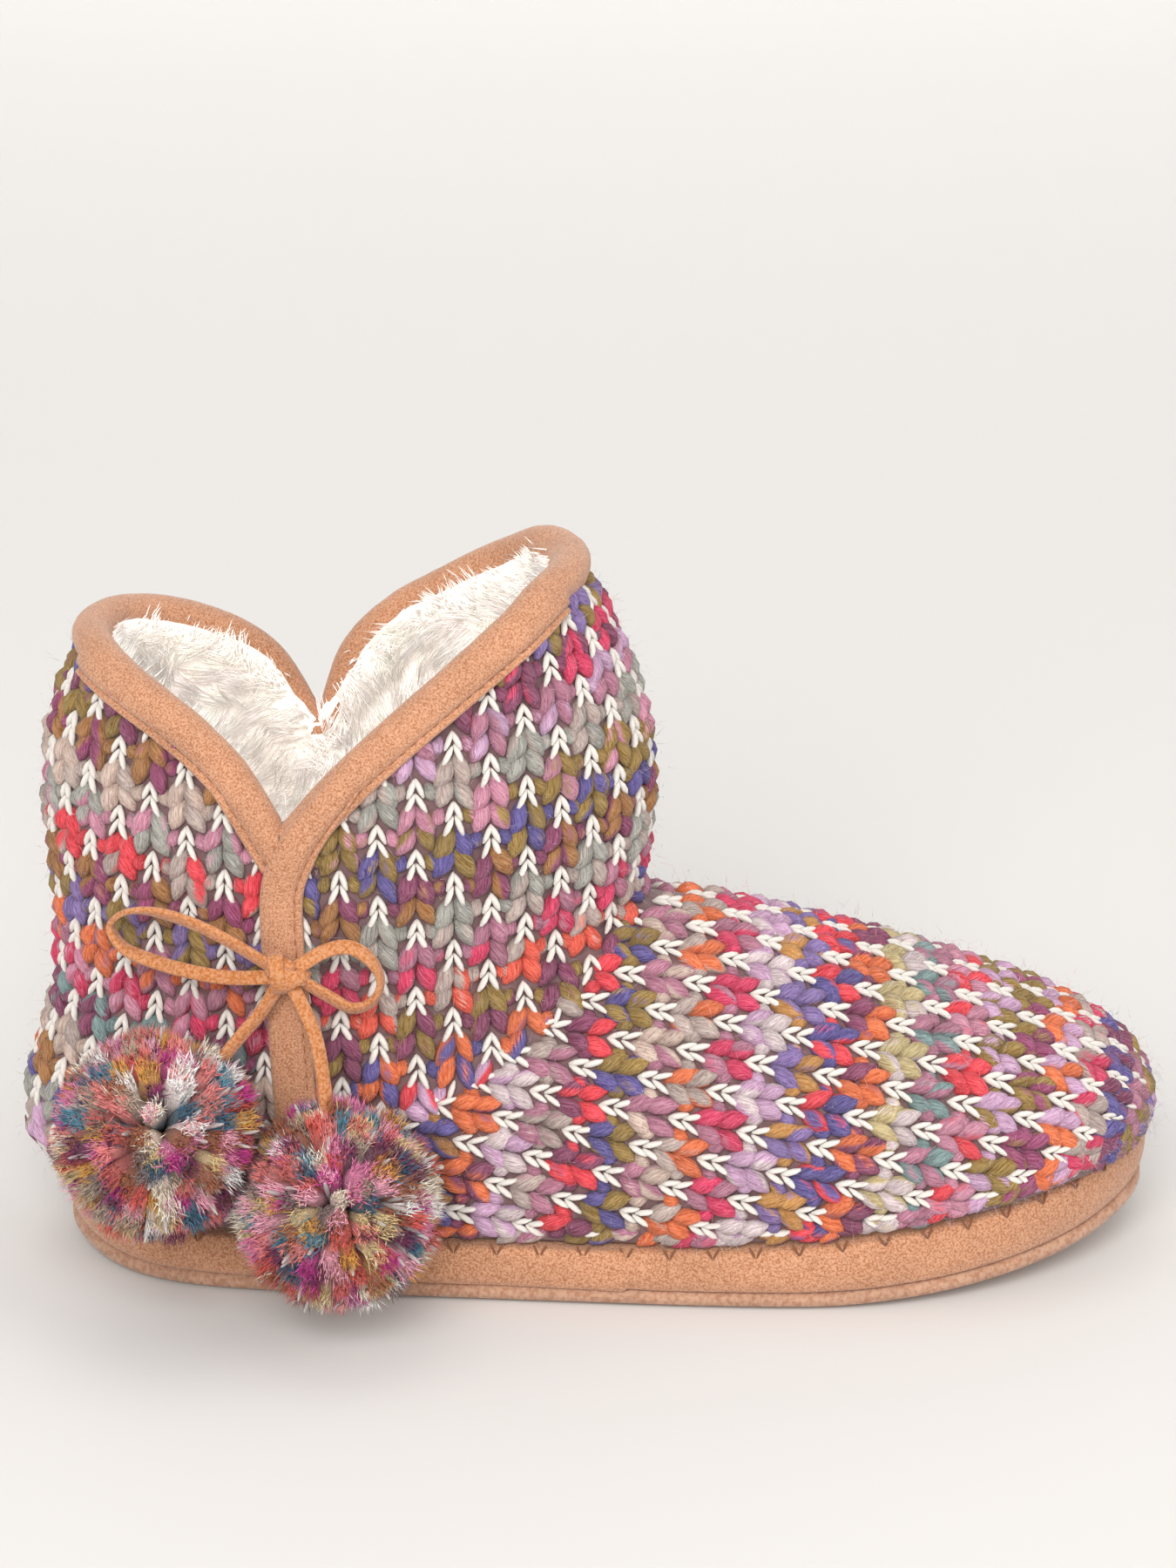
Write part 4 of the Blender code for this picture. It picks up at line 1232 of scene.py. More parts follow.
# Section of the rolled edge: distance out from the middle of the wall, distance down from its top.
ROLL = [
    (2.3, 6.4), (3.2, 6.5), (3.7, 6.0), (3.75, 5.4), (3.3, 4.9), (3.05, 4.55), (3.85, 4.1),
    (4.4, 3.3), (4.6, 2.2), (4.55, 1.0), (4.25, -0.2), (3.6, -1.4), (2.55, -2.25), (1.3, -2.8),
    (0.0, -2.95), (-1.3, -2.8), (-2.55, -2.25), (-3.6, -1.4), (-4.1, -0.2), (-4.25, 1.2),
    (-4.1, 2.6), (-3.7, 3.8), (-2.9, 4.6), (-2.2, 4.8), (0.0, 4.0),
]
ROLL_DEPTH = 7.0  # below this distance from the top, the edge follows the knit
ROLL_GROOVE = 5  # point of the section in which the stitches lie


def roll(name, turns, mitre_side, material):
    """Rolled suede edge over one flap of the collar, cut straight where it meets the notch."""
    edge = even(np.array([collar_point(abs(t), -1 if t < 0 else 1) for t in turns]), 110)
    along = np.gradient(edge, axis=0)
    along /= np.linalg.norm(along, axis=1)[:, None]
    sections, groove = [], []
    for k, p in enumerate(edge):
        front, back, half = shaft_at(p[2])
        out = np.array([(p[0] - (front + back) / 2) / ((front - back) / 2) ** 2, p[1] / half**2, 0.0])
        out /= np.linalg.norm(out)
        out -= along[k] * np.dot(out, along[k])
        out /= np.linalg.norm(out)
        down = np.cross(along[k], out)
        down *= -1 if down[2] > 0 else 1
        low = Vector(p + down * ROLL_DEPTH)
        tuck = np.array(surfaces().find_nearest(low)[0]) - np.array(low)
        middle = p - out * WALL / 2
        section = []
        for o, d in ROLL:
            q = middle + out * o + down * d + tuck * max(0.0, min(1.3, d / ROLL_DEPTH))
            q += out * 0.16 * noise.noise(Vector(q) * 0.22) + down * 0.10 * noise.noise(Vector(q) * 0.35)
            if mitre_side and k in (0, len(edge) - 1):
                q = q + along[k] * ((NOTCH[sign_of(p)][0] + mitre_side * 0.15 - q[0]) / along[k][0])
            section.append(q)
        sections.append(section)
        groove.append((section[ROLL_GROOVE], out))
    return swept(name, sections, material), groove


# Section of the side strip: millimetres across, share of the height.
STRIP = [
    (-4.6, -0.5), (-4.6, 0.35), (-4.1, 0.78), (-3.0, 0.96), (-1.0, 1.0), (1.2, 0.98), (2.4, 0.86),
    (3.0, 0.6), (3.25, 0.44), (3.6, 0.62), (4.4, 0.66), (4.9, 0.45), (5.0, -0.5),
]
STRIP_GROOVE = 8  # point of the section in which the stitches lie
STRIP_HEIGHTS = [2.3, 3.1, 3.3, 2.3, 1.9, 1.7]  # from its upper to its lower end
STRIP_TUCK = ([0, 5, 22], [0.42, 0.62, 1.0])  # share of its front half, by the distance from its upper end


def strip(name, sign, material):
    """Flat suede tape that runs on from the front flap over the notch and down the side seam."""
    places = []
    for x, z in even(spline(STRIP_PATH[sign], 10), 90):
        place, normal = side_point(x, z, sign)
        places.append((np.array(place), np.array(normal)))
    points = np.array([p for p, _ in places])
    along = np.gradient(points, axis=0)
    along /= np.linalg.norm(along, axis=1)[:, None]
    far = lengths(points)
    sections, groove = [], []
    for k, (p, normal) in enumerate(places):
        out = normal - along[k] * np.dot(normal, along[k])
        out /= np.linalg.norm(out)
        across = np.cross(along[k], out)
        across *= -1 if across[0] < 0 else 1
        high = float(np.interp(far[k], [0, 8, 24, 34, far[-1] - 3, far[-1]], STRIP_HEIGHTS))
        section = []
        tuck = float(np.interp(far[k], *STRIP_TUCK))
        for a, h in STRIP:
            q = p + across * (a * tuck if a > 0 else a) + out * (h * high if h > 0 else h)
            if h <= 0:
                near = surfaces().find_nearest(Vector(q))
                if near[3] < 3:
                    q = q + out * (np.dot(np.array(near[0]) - q, out) - 0.4)
            q = q + out * 0.12 * noise.noise(Vector(q) * 0.3)
            section.append(q)
        sections.append(section)
        groove.append((section[STRIP_GROOVE], out))
    return swept(name, sections, material), groove


def running_stitch(lines, step):
    """A row of stitches along each groove."""
    stitches = Legs()
    for groove in lines:
        line = np.array([g[0] for g in groove])
        far = lengths(line)
        for k in range(int(far[-1] / step)):
            s = (k + 0.5) * step
            way = at_length(line, far, min(s + 0.5, far[-1])) - at_length(line, far, max(s - 0.5, 0))
            up = groove[int(np.argmin(np.abs(far - s)))][1]
            at = at_length(line, far, s) + up * 0.05
            stitches.add((at, way / np.linalg.norm(way), up), (1, 1, 1))
    return stitches


def sew(name, stitches, material, length, width, puff, tuck):
    """Stitches of thread as one piece."""
    sizes = {"Length": length, "Width": width, "Puff": puff, "Taper": 0.1, "Tuck": tuck}
    return stitches.build(name, {**sizes, "Segments": 6, "Rings": 5, "Material": material}, False)


class SLIPPER_OT_trim(Operator):
    """Sew on the rolled collar edges, the side strips and their stitching"""

    bl_idname = "slipper.trim"
    bl_label = "Suede trim"

    def execute(self, context):
        own = context.scene.slipper.trim
        suede = suede_material("trim_suede", tuple(own.suede), 2300.0, 0.8)
        left, right = notch_turn(-1), notch_turn(1)
        front, first = roll("collar_front", np.linspace(-left, right, 160), 1, suede)
        back = list(np.linspace(right, math.pi - 1e-4, 80)) + list(np.linspace(-math.pi + 1e-4, -left, 80))
        rear, second = roll("collar_rear", back, -1, suede)
        keep(front, "suede", "binding_front")
        keep(rear, "suede", "binding_rear")
        grooves = [first, second]
        for name, sign, stands_for in (
            ("strip_lateral", -1, "side_strip_lateral"), ("strip_medial", 1, "side_strip_medial"),
        ):
            tape, groove = strip(name, sign, suede)
            keep(tape, "suede", stands_for)
            grooves.append(groove)
        thread = cloth_material("thread", tuple(own.thread), 2500.0, 0.0002)
        stitches = running_stitch(grooves, own.stitch_step / MM)
        made = sew("collar_stitches", stitches, thread, 0.0024, 0.00055, 0.0006, 0.0003)
        keep(made, "suede")
        return {"FINISHED"}


# Sole


LAP_STEP, LAP_FADE = 0.55, 14.0  # the band's upper end at its join
LAP_GROOVE, LAP_GROOVE_FADE = 0.35, 3.0  # and the groove beside it
WEAR_OUT, WEAR_UP = 2.4, 2.2  # how far the wear layer grows to lie flush with the band
BLANKET_LENGTH = 3.0
BLANKET_SPREAD = 1.5
BLANKET_IN = 0.5
BLANKET_SHADE = (0.20, 0.075, 0.035)


def sole_piece(name, source, levels, material, slot, shape=None):
    """A smoothed copy of a sole layer with its own finish."""
    obj = node_copy(source, levels)
    obj.name = obj.data.name = name
    if shape:
        normals = [v.normal.copy() for v in obj.data.vertices]
        for v, normal in zip(obj.data.vertices, normals):
            v.co = shape(v.co / MM, normal) * MM
    dress(obj.data, material)
    return keep(obj, slot, source)


def band_edge(drop, count=720):
    """Places round the suede band, a little below its top edge, with their outward directions."""
    spots = []
    for k in range(count):
        turn = math.tau * k / count
        way = Vector((math.cos(turn), math.sin(turn) * 0.36, 0)).normalized()
        x, hit = 0.0, None
        for _ in range(4):
            z = band_top(x) - drop
            hit = CACHE["midsole"].ray_cast(Vector((0, 0, z)) + way * FAR_ROUND, -way)
            x = hit[0].x
        spots.append((np.array(hit[0]), np.array(hit[1])))
    return spots


class SLIPPER_OT_sole(Operator):
    """Wrap the sole: suede band with its join and blanket stitches, and the wear layer"""

    bl_idname = "slipper.sole"
    bl_label = "Sole"

    def execute(self, context):
        own = context.scene.slipper.sole
        surfaces()
        band = suede_material("band_suede", tuple(own.band), 2000.0, 0.8, 0.0004)
        join = own.band_join / MM

        def lapped(p, normal):
            side = abs(normal.y)
            step = 0.0
            if p.y < 0 and side > 0.3:
                past = p.x - join
                step = LAP_STEP * math.exp(past / LAP_FADE)
                if past >= 0:
                    step = -LAP_GROOVE * math.exp(-past / LAP_GROOVE_FADE)
            soft = 0.22 * noise.noise(p * 0.07) + 0.10 * noise.noise(p * 0.21)
            return p + normal * (step + soft * side)

        sole_piece("sole_band", "midsole", 3, band, "suede_band", lapped)
        wear = suede_material("wear_brown", tuple(own.outsole), 900.0, 0.15, 0.0001)

        def flush(p, normal):
            return p + Vector((normal.x * WEAR_OUT, normal.y * WEAR_OUT, WEAR_UP if normal.z > 0.15 else 0.0))

        sole_piece("wear_layer", "outsole", 2, wear, "outsole", flush)
        self.blanket(own)
        return {"FINISHED"}

    def blanket(self, own):
        """V-shaped stitches of brown thread from the knit down into the suede."""
        step = own.blanket_step / MM
        spots = band_edge(3.0)
        line = np.array([p for p, _ in spots] + [spots[0][0]])
        far = lengths(line)
        stitches = Legs()
        for k in range(int(far[-1] / step)):
            s = (k + 0.5) * step
            p = at_length(line, far, s)
            out = spots[int(np.argmin(np.abs(far[:-1] - s)))][1]
            ahead = at_length(line, far, min(s + 1, far[-1])) - at_length(line, far, max(s - 1, 0))
            ahead /= np.linalg.norm(ahead)
            up = np.cross(out, ahead)
            up *= -1 if up[2] < 0 else 1
            for lean in (-1, 1):
                way = up * BLANKET_LENGTH + ahead * lean * BLANKET_SPREAD - out * BLANKET_IN
                long = np.linalg.norm(way)
                stitches.add((p + out * 0.15 + way * 0.5, way / long, out), (long / BLANKET_LENGTH, 1, 1))
        thread = cloth_material("blanket_thread", BLANKET_SHADE, 2500.0, 0.0002)
        made = sew("blanket_stitches", stitches, thread, BLANKET_LENGTH * MM, 0.00065, 0.00065, 0.0001)
        keep(made, "suede_band")


# Lining


BOUND_EDGE = 5.0  # the binding covers this much of the walls' upper edge
PILE_FLOOR = 34.0  # lowest pile on the walls
PILE_FRONT = 20.0  # foremost pile on the walls
PILE_FULL = 70.0  # full pile above this height, and a thin share of it below
PILE_THIN = 0.3
STAND_FROM, STAND_OVER = 15.0, 9.0  # the pile rises from this far below the edge, over this height
SWELL = ([2.0, 4.5, 9.0, 17.0], [0.0, 2.3, 2.3, 0.0])  # swelling by the distance below the edge
LOW_PUSH = ([30.0, 46.0], [1.8, 0.0])  # push off the knit's lobes by the height
SPINE_BACK, SPINE_HEIGHT = -95.0, 38.0  # line inside the foot that the inner faces look at
SPINE_FRONT = ([45.0, 60.0], [100.0, -40.0])  # its front end by the face's height
HEM_TOP, HEM_FRONT = 45.0, 90.0
HEM_DEPTH, HEM_RISE = 10.0, 0.5
BED_PILE = 0.85  # length of the footbed's pile against the walls'
BED_FRONT = 25.0  # foremost pile on the footbed


def scatter(mesh, count, rng, weight):
    """Seeded places on a mesh's faces in millimetres, with face normals, by area and weight."""
    mesh.calc_loop_triangles()
    corner = np.array([v.co for v in mesh.vertices]) / MM
    tris = np.array([t.vertices[:] for t in mesh.loop_triangles])
    a, b, c = corner[tris[:, 0]], corner[tris[:, 1]], corner[tris[:, 2]]
    normal = np.cross(b - a, c - a)
    area = np.linalg.norm(normal, axis=1)
    normal /= np.maximum(area, 1e-9)[:, None]
    share = area * np.array([weight(p) for p in (a + b + c) / 3])
    pick = rng.choice(len(tris), size=count, p=share / share.sum())
    u, v = rng.random(count), rng.random(count)
    flip = u + v > 1
    u[flip], v[flip] = 1 - u[flip], 1 - v[flip]
    return a[pick] + (b - a)[pick] * u[:, None] + (c - a)[pick] * v[:, None], normal[pick]


def plush(name, mesh, clumps, strands, seed, pile, colour, weight, near, material):
    """Plush on a mesh: clumps of fine strands that drift in their lay and close up at their tips."""
    rng = np.random.default_rng(seed)
    draw = random.Random(seed)
    places, normals = scatter(mesh, clumps, rng, weight)
    hairs = Hairs()
    for p, n in zip(places, normals):
        at, up = Vector(p), Vector(n)
        close = near(p)
        lay_way = Vector([noise.noise(at * 0.045 + Vector((0, 0, 9.0 * i))) for i in range(3)]) * 1.3
        lay_way += Vector((draw.gauss(0, 0.22), draw.gauss(0, 0.22), draw.gauss(0, 0.22) - 0.3 + 1.3 * close))
        lay_way = (lay_way - up * lay_way.dot(up)).normalized()
        side = up.cross(lay_way)
        way = (lay_way + up * draw.uniform(0.35, 0.75) * (1 + 0.5 * close)).normalized()
        long = pile * draw.uniform(0.75, 1.0) * (1 - 0.32 * close) / MM
        tint = [min(1.0, c * draw.uniform(0.96, 1.02)) for c in colour]
        for _ in range(strands):
            spread = lay_way * draw.gauss(0, 1.5) + side * draw.gauss(0, 1.5)
            base = at + up * (0.2 + 0.5 * close) + spread
            tip = at + up * (0.2 + 0.9 * close) + way * long * draw.uniform(0.75, 1.1)
            tip += spread * (0.55 + 0.4 * close)
            hairs.add(base, (tip - base).normalized(), (1, 1, (tip - base).length * MM), tint, draw)
    return hairs.build(name + "_pile", {"Thickness": 0.00042, "Material": material})


class SLIPPER_OT_lining(Operator):
    """Line the boot with plush: soft walls, footbed and their pile"""

    bl_idname = "slipper.lining"
    bl_label = "Plush lining"

    def execute(self, context):
        own = context.scene.slipper.lining
        colour = tuple(own.plush)
        # The pile has painted shade at its roots, and the pile and its ground glow with painted light.
        pile = tint_material("plush_pile", 0.3, 0.97, colour, 0.19)
        ground = cloth_material("plush_ground", tuple(c * 0.97 for c in colour), 260.0, 0.0008, 0.05, 0.09)
        walls = self.walls(ground)
        keep(walls, "lining")
        made = plush(
            "lining", walls.data, own.clumps, own.strands, own.seed, own.pile, colour,
            self.density, self.near, pile,
        )
        keep(made, "lining")
        bed = sole_piece("footbed", "insole", 2, ground, "lining")
        made = plush(
            "footbed", bed.data, own.clumps // 7, own.strands, own.seed + 1, own.pile * BED_PILE, colour,
            lambda p: 1.0 if p[2] > band_top(p[0]) + 3.2 and p[0] < BED_FRONT else 0.0, lambda p: 0.0, pile,
        )
        keep(made, "lining")
        return {"FINISHED"}

    def density(self, p):
        """Share of pile: full under the collar, thin down in the foot, none where the edge is bound."""
        if p[2] > COLLAR_FOOT and p[2] > crest_z(p[0], sign_of(p)) - BOUND_EDGE:
            return 0.0
        if p[2] < PILE_FLOOR or p[0] > PILE_FRONT:
            return 0.0
        return 1.0 + 1.5 * self.near(p) if p[2] > PILE_FULL else PILE_THIN

    def near(self, p):
        """Share by which the pile stands up and out over the lower part of the binding."""
        if p[2] < COLLAR_FOOT:
            return 0.0
        return float(np.clip((p[2] - crest_z(p[0], sign_of(p)) + STAND_FROM) / STAND_OVER, 0, 1))

    def bulge(self, p):
        """How far the lining swells inwards below the binding."""
        if p[2] < COLLAR_FOOT:
            return 0.0
        below = crest_z(p[0], sign_of(p)) - p[2]
        return float(np.interp(below, *SWELL))

    def walls(self, material):
        """Inner skin of the upper, off the knit, swollen below the binding and turned in at its foot."""
        bm = upper_bmesh()
        outer = []
        for face in bm.faces:
            p = face.calc_center_median() / MM
            if p.z > COLLAR_FOOT:
                front, back, _ = shaft_at(p.z)
                middle = Vector(((front + back) / 2, 0, p.z))
            else:
                front = float(np.interp(p.z, *SPINE_FRONT))
                middle = Vector((min(max(p.x * 0.96, SPINE_BACK), front), 0, SPINE_HEIGHT))
            if face.normal.dot(p - middle) > 0:
                outer.append(face)
        bmesh.ops.delete(bm, geom=outer, context="FACES")
        loose = [v for v in bm.verts if not v.link_faces]
        bmesh.ops.delete(bm, geom=loose, context="VERTS")
        bm.normal_update()
        moves = []
        for v in bm.verts:
            off = 0.35 + 0.5 * noise.noise(v.co / MM * 0.12) + self.bulge(v.co / MM)
            low = float(np.interp(v.co.z / MM, *LOW_PUSH))
            moves.append((v.normal * off + Vector((v.normal.x, v.normal.y, 0)) * low) * MM)
        for v, move in zip(bm.verts, moves):
            v.co += move
        rim = [e for e in bm.edges if e.is_boundary and max(v.co.z for v in e.verts) < HEM_TOP * MM]
        hem = bmesh.ops.extrude_edge_only(bm, edges=rim)["geom"]
        for v in hem:
            if isinstance(v, bmesh.types.BMVert):
                spine = Vector((min(max(v.co.x, SPINE_BACK * MM), HEM_FRONT * MM), 0, v.co.z))
                v.co += (spine - v.co).normalized() * HEM_DEPTH * MM + Vector((0, 0, HEM_RISE * MM))
        mesh = mesh_from(bm, "lining_walls")
        dress(mesh, material)
        return add_object("lining_walls", mesh)


# Bow and pompoms


KNOT_AT = (-66.95, 83.0)
KNOT_OFF = 5.6
KNOT_STEPS = 28
HEART = (2.9, 1.9, 3.6)  # half-sizes of the knot's heart
RIBBON_STEP = 0.9
TUFT_CLEAR = 0.6  # between a tuft's tip and the knit or the sole
TUFT_LEAST = 9.0  # shortest reach of a tuft


def knot_centre():
    """Middle of the knot, off the knit."""
    x, z = KNOT_AT
    place, _ = side_point(x, z, -1)
    return Vector((x, place.y - KNOT_OFF, z))


def pompom_centre(which):
    """Seat of a pompom beside the knit."""
    x, z = POMPOM_AT[which]
    place, _ = side_point(x, z, -1)
    y = place.y
    for _ in range(60):
        far = surfaces().find_nearest(Vector((x, y, z)))[3]
        if far >= POMPOM_SEAT and y < place.y - 1:
            break
        y -= 0.5
    return Vector((x, y, z))


def lace_line(route):
    """Route of the lace in space, off the knit by its clearance."""
    line = []
    for x, z, off in route:
        place, _ = side_point(x, z, -1)
        line.append((x, place.y - off, z))
    return line


def ribbon(name, line, lean, width, thick, material):
    """Flat lace along a line: lean is how far its face turns from the side view, by share of its length."""
    line = np.array(line)
    line = even(line, max(16, int(lengths(line)[-1] / RIBBON_STEP)))
    along = np.gradient(line, axis=0)
    along /= np.linalg.norm(along, axis=1)[:, None]
    far = lengths(line) / lengths(line)[-1]
    sections = []
    last = None
    for p, t, s in zip(line, along, far):
        plane = np.cross(t, (0.0, 1.0, 0.0))
        if np.linalg.norm(plane) < 0.15:
            plane = last if last is not None else np.array([0.0, 0.0, 1.0])
        plane = plane / np.linalg.norm(plane)
        if last is not None and np.dot(plane, last) < 0:
            plane = -plane
        last = plane
        depth = np.cross(plane, t)
        turn = math.radians(lean(s))
        wide = plane * math.cos(turn) + depth * math.sin(turn)
        flat = np.cross(t, wide)
        sections.append([p + wide * a * width + flat * b * thick for a, b in LACE_SECTION])
    return swept(name, sections, material), line


class SLIPPER_OT_pompoms(Operator):
    """Cut the two pompoms from tufts of many yarns"""

    bl_idname = "slipper.pompoms"
    bl_label = "Pompoms"

    def execute(self, context):
        own = context.scene.slipper.pompom
        # Painted shade: tufts darker on one side, their loose fibres darker towards the roots.
        yarn = yarn_material("tuft_yarn", 0.5, 16.0)
        loose = tint_material("tuft_fibres", 0.04, 0.72, (0.45, 0.26, 0.25))
        centres = {which: pompom_centre(which) for which in POMPOM_AT}
        for number, which in enumerate(POMPOM_AT):
            rng = random.Random(own.seed + number)
            other = centres["front" if which == "rear" else "rear"]
            tufts, fibres = self.ball(which, centres[which], other, own, yarn, loose, rng)
            for made in (tufts, fibres):
                keep(made, "pompom_yarn", "pompom_" + which)
            CACHE["pompom_" + which] = [tufts, fibres]
        return {"FINISHED"}

    def reach(self, centre, way, other, longest):
        """How far a tuft can stand before it meets the knit, the sole, the floor or the other pompom."""
        long = longest
        for name in ("knit", "midsole"):
            hit = CACHE[name].ray_cast(centre, way)
            if hit[0] is not None:
                long = min(long, hit[3] - TUFT_CLEAR)
        toward = other - centre
        ahead = way.dot(toward.normalized())
        if ahead > 0.2:
            long = min(long, (toward.length / 2 + 0.2) / ahead)
        if way.z < -0.1:
            long = min(long, (centre.z - 1.0) / -way.z)
        return max(long, TUFT_LEAST)

    def ball(self, which, centre, other, own, yarn, loose, rng):
        """Thick cut ends of yarn packed all round, each with loose fibres at its tip."""
        thick, hairs = Legs(), Hairs()
        golden = math.pi * (3 - math.sqrt(5))
        longest = own.reach / MM
        for k in range(own.tufts):
            up = 1 - 2 * (k + 0.5) / own.tufts
            flat = math.sqrt(1 - up * up)
            way = Vector((math.cos(golden * k) * flat, math.sin(golden * k) * flat, up))
            way = (way + stray(rng, 0.08)).normalized()
            tip = self.reach(centre, way, other, longest * rng.uniform(0.88, 0.98))
            last = len(TUFT_SHADES) - 1
            shade = linear(TUFT_SHADES[min(int(rng.random() ** 1.1 * (last + 1)), last)])
            second = linear(rng.choice(TUFT_SHADES)) if rng.random() < 0.35 else shade
            side = way.orthogonal().normalized()
            side.rotate(Matrix.Rotation(rng.uniform(0, math.tau), 3, way))
            wide = rng.uniform(0.75, 1.25)
            size = ((tip - TUFT_SHORT - TUFT_START) / TUFT_LENGTH, wide, wide * rng.uniform(0.8, 1.1))
            at = centre + way * (TUFT_START + tip - TUFT_SHORT) / 2
            thick.add((at, way, side), size, (*shade, rng.uniform(0.55, 1.0)), (*second, rng.random()))
            over = way.cross(side)
            for number in range(own.fibres):
                turn, off = rng.uniform(0, math.tau), 3.0 * wide * math.sqrt(rng.random())
                fan = (side * math.cos(turn) + over * math.sin(turn)) * off
                if number % 2:
                    base = centre + way * tip * rng.uniform(0.40, 0.66) + fan * 0.45
                    end = centre + (way * tip + fan).normalized() * (tip + rng.uniform(-1.4, 0.5))
                else:
                    base = centre + (way * tip + fan).normalized() * (tip - rng.uniform(2.4, 4.4))
                    end = base + (way + stray(rng) * 0.42).normalized() * rng.uniform(2.2, 3.6)
                    if (end - centre).length > tip + 0.4:
                        end = centre + (end - centre) * ((tip + 0.4) / (end - centre).length)
                tint = shade if rng.random() < 0.9 else second
                vary = rng.uniform(1.0, 1.6)
                tint = [min(1.0, c * vary) for c in tint]
                hairs.add(base, (end - base).normalized(), (1, 1, (end - base).length * MM), tint, rng)
            if rng.random() < 0.18:
                lean = (way + side * rng.uniform(0.10, 0.18)).normalized()
                end = self.reach(centre, lean, other, longest * rng.uniform(0.93, 0.98))
                size = ((end - WHITE_START) / TUFT_LENGTH, 0.21, 0.21)
                at = centre + lean * (end + WHITE_START) / 2
                thick.add((at, lean, side), size, (*WHITE_END, 0.9), (*WHITE_END, rng.random()))
        sizes = {
            "Length": TUFT_LENGTH * MM, "Width": 0.0050, "Puff": 0.0050, "Taper": 0.05, "Drop": 0.42,
            "Tuck": 0.0, "Segments": 8, "Rings": 8, "Material": yarn,
        }
        tufts = thick.build("pompom_" + which + "_tufts", sizes)
        return tufts, hairs.build("pompom_" + which + "_fibres", {"Thickness": 0.00040, "Material": loose})


class SLIPPER_OT_bow(Operator):
    """Tie the lace: two loops, two tails into the pompoms and the knot"""

    bl_idname = "slipper.bow"
    bl_label = "Bow"

    def execute(self, context):
        own = context.scene.slipper.bow
        width, thick = own.width / MM, own.thick / MM
        suede = suede_material("lace_suede", tuple(own.lace), 1500.0, 0.4, 0.0002)
        centre = knot_centre()
        knot = self.knot(centre, width, thick, suede)
        keep(knot, "lace", "bow_knot")
        for name, route, stands_for in (
            ("lace_loop_rear", LOOP_REAR, "bow_loop_rear"), ("lace_loop_front", LOOP_FRONT, "bow_loop_front"),
        ):
            guide = lace_line(route)
            side = -1 if "rear" in name else 1
            guide[0] = (centre.x + side * 2.4, centre.y - 0.6, centre.z + 1.4)
            guide[-1] = (centre.x + side * 2.4, centre.y + 0.2, centre.z - 1.0)
            line = spline(guide, 6)
            made, line = ribbon(
                name, line, lambda s: 28 + 50 * math.exp(-((s - 0.5) / 0.14) ** 2), width, thick, suede,
            )
            keep(made, "lace", stands_for)
        for which, route in (("rear", TAIL_REAR), ("front", TAIL_FRONT)):
            guide = lace_line(route)
            side = -1 if which == "rear" else 1
            guide[0] = (centre.x + side * 1.4, centre.y - 0.4, centre.z - 2.6)
            guide.append(tuple(pompom_centre(which)))
            line = spline(guide, 6)
            made, line = ribbon("lace_tail_" + which, line, lambda s: 20 + 20 * s, width, thick, suede)
            keep(made, "lace", "bow_tail_" + which)
        return {"FINISHED"}

    def knot(self, centre, width, thick, material):
        """Lace wound round itself: one turn upright and two lying across, over a plain heart."""
        c = np.array(centre)
        near = np.array([0.0, -1.0, 0.0])
        meshes = []
        for reach, deep, lean, shift, wide in KNOT_TURNS:
            turn = math.radians(lean)
            axis = np.array([math.cos(turn), 0.0, math.sin(turn)])
            up = np.array([-math.sin(turn), 0.0, math.cos(turn)])
            sections = []
            for k in range(KNOT_STEPS):
                a = math.tau * k / KNOT_STEPS
                out = up * math.cos(a) + near * math.sin(a)
                p = c + np.array(shift) + up * math.cos(a) * reach + near * math.sin(a) * deep
                sections.append([p + axis * u * width * wide + out * v * thick for u, v in LACE_SECTION])
            meshes.append(swept("knot_turn", sections, material, closed=True))
        heart = []
        for k in range(9):
            t = -1 + k / 4
            size = math.sqrt(max(0.02, 1 - t * t))
            turns = [math.tau * i / 14 for i in range(14)]
            wide, deep, high = HEART[0] * size, HEART[1] * size, HEART[2] * t
            heart.append([c + np.array([wide * math.cos(a), deep * math.sin(a), high]) for a in turns])
        meshes.append(swept("knot_heart", heart, material))
        bm = bmesh.new()
        for obj in meshes:
            bm.from_mesh(obj.data)
            bpy.data.objects.remove(obj)
        mesh = mesh_from(bm, "lace_knot")
        dress(mesh, material)
        return add_object("lace_knot", mesh)


# Stage


SKY, SKY_STRENGTH = (1.0, 0.985, 0.96, 1), 0.65
LAMP_SHADE = (1.0, 0.97, 0.93)
# Name, place, target, size, power and spread in degrees of each lamp.
LAMPS = [
    ("key", (-0.5, -3.2, 2.1), (0, 0, 0.06), 2.0, 132.0, 180),
    ("fill", (2.6, -1.8, 1.8), (0, 0, 0.06), 2.8, 38.0, 180),
    ("top", (-0.2, 0.2, 2.6), (0, 0, 0.06), 1.3, 7.0, 180),
    ("backdrop", (0.0, 1.5, 2.2), (0, 3.0, 0.2), 2.0, 13.0, 100),
]
CAMERA_TARGET = (0, 0, 0.110)
SENSOR = 36.0
# Paper sweep in metres: where it starts and bends, the bend's radius, its top and half its width.
SWEEP_START, SWEEP_BEND, SWEEP_RADIUS, SWEEP_TOP, SWEEP_SIDE = -3.0, 1.2, 1.2, 4.0, 4.0
SWEEP_STEPS = 12


def aimed(name, data, place, target):
    """A lamp or camera at a place, turned to a target."""
    obj = add_object(name, data)
    obj.location = place
    obj.rotation_euler = (Vector(target) - Vector(place)).to_track_quat("-Z", "Y").to_euler()
    return obj


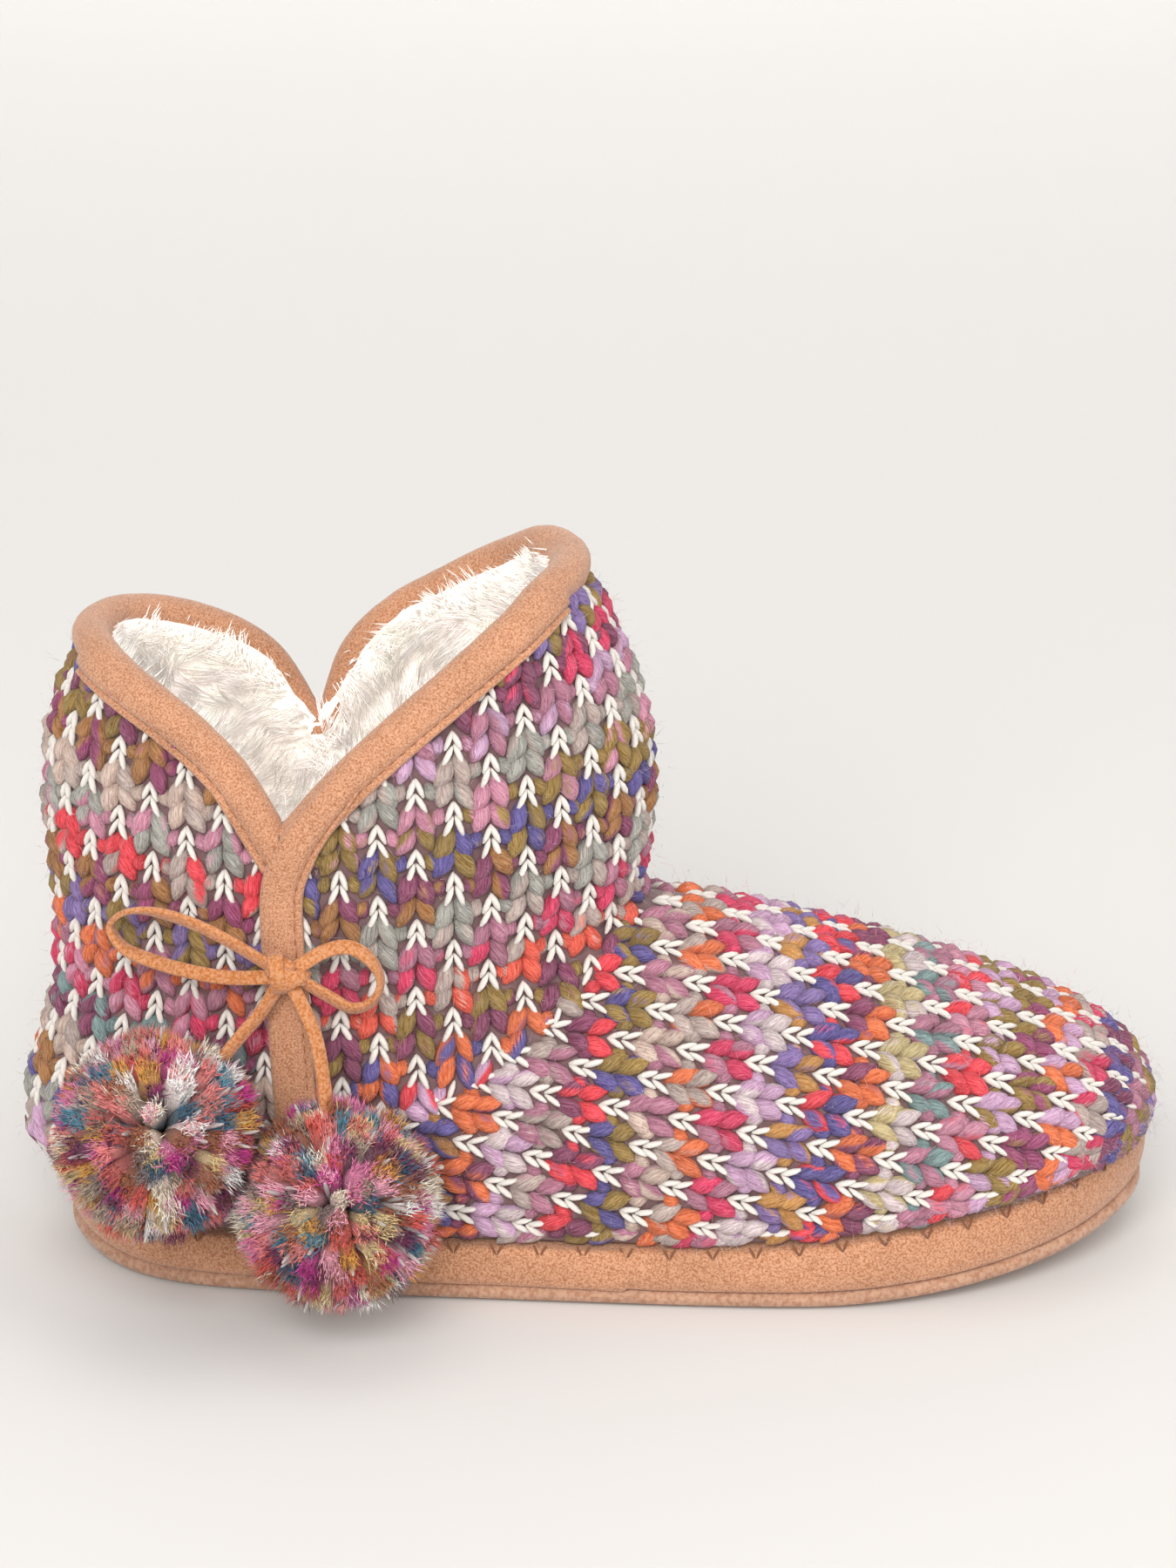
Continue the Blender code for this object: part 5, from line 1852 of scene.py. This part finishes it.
class SLIPPER_OT_stage(Operator):
    """Set the pale floor, the soft light and the camera"""

    bl_idname = "slipper.stage"
    bl_label = "Stage"

    def execute(self, context):
        own = context.scene.slipper.stage
        self.floor(own)
        world = bpy.data.worlds.new("studio")
        world.use_nodes = True
        sky = world.node_tree.nodes["Background"].inputs
        sky["Color"].default_value = SKY
        sky["Strength"].default_value = SKY_STRENGTH
        context.scene.world = world
        for name, place, aim, size, power, spread in LAMPS:
            lamp = bpy.data.lights.new(name, "AREA")
            lamp.size = size
            lamp.energy = power
            lamp.spread = math.radians(spread)
            lamp.color = LAMP_SHADE
            aimed(name, lamp, place, aim)
        camera = bpy.data.cameras.new("camera")
        camera.lens = own.lens
        camera.sensor_width = SENSOR
        target = Vector(CAMERA_TARGET)
        place = target + own.distance * Vector((0, -math.cos(own.elevation), math.sin(own.elevation)))
        context.scene.camera = aimed("camera", camera, place, target)
        context.scene.view_settings.view_transform = "Standard"
        return {"FINISHED"}

    def floor(self, own):
        """Paper sweep: flat underfoot, curving up far behind."""
        profile = [(SWEEP_START, 0.0), (SWEEP_BEND, 0.0)]
        for k in range(1, SWEEP_STEPS + 1):
            a = math.pi / 2 * k / SWEEP_STEPS
            rise = SWEEP_RADIUS - SWEEP_RADIUS * math.cos(a)
            profile.append((SWEEP_BEND + SWEEP_RADIUS * math.sin(a), rise))
        profile.append((SWEEP_BEND + SWEEP_RADIUS, SWEEP_TOP))
        points, faces = [], []
        for x in (-SWEEP_SIDE, SWEEP_SIDE):
            points += [(x / MM, y / MM, z / MM) for y, z in profile]
        n = len(profile)
        for i in range(n - 1):
            faces.append((i, i + 1, n + i + 1, n + i))
        mat, tree, shader = new_material("paper")
        grain = mottle(tree, object_place(tree), 3.0, 2.0)
        low = [c * 0.99 for c in own.floor]
        paint(tree, shader, mix(tree, grain, (*low, 1), (*own.floor, 1)), own.floor)
        obj = piece("floor", points, faces, mat)
        bm = bmesh.new()
        bm.from_mesh(obj.data)
        for face in bm.faces:
            if face.normal.z < -0.1 or face.normal.y > 0.5:
                face.normal_flip()
        bm.to_mesh(obj.data)
        bm.free()


class SLIPPER_PT_panel(Panel):
    """Pieces of the slipper boot"""

    bl_label = "Knit slipper boot"
    bl_idname = "SLIPPER_PT_panel"
    bl_space_type = "VIEW_3D"
    bl_region_type = "UI"
    bl_category = "Slipper"

    def draw(self, context):
        for operator in OPERATORS:
            self.layout.operator(operator.bl_idname)


SETTINGS = (
    KnitSettings, TrimSettings, SoleSettings, LiningSettings, BowSettings, PompomSettings, StageSettings,
    SlipperSettings,
)
OPERATORS = (
    SLIPPER_OT_stage, SLIPPER_OT_pompoms, SLIPPER_OT_bow, SLIPPER_OT_sole, SLIPPER_OT_knit, SLIPPER_OT_trim,
    SLIPPER_OT_lining,
)


def register():
    for cls in SETTINGS + OPERATORS + (SLIPPER_PT_panel,):
        bpy.utils.register_class(cls)
    bpy.types.Scene.slipper = PointerProperty(type=SlipperSettings)


def unregister():
    del bpy.types.Scene.slipper
    for cls in reversed(SETTINGS + OPERATORS + (SLIPPER_PT_panel,)):
        bpy.utils.unregister_class(cls)


def main():
    register()
    bpy.ops.slipper.stage()
    bpy.ops.slipper.pompoms()
    bpy.ops.slipper.bow()
    bpy.ops.slipper.sole()
    bpy.ops.slipper.knit()
    bpy.ops.slipper.trim()
    bpy.ops.slipper.lining()


if __name__ == "__main__":
    main()
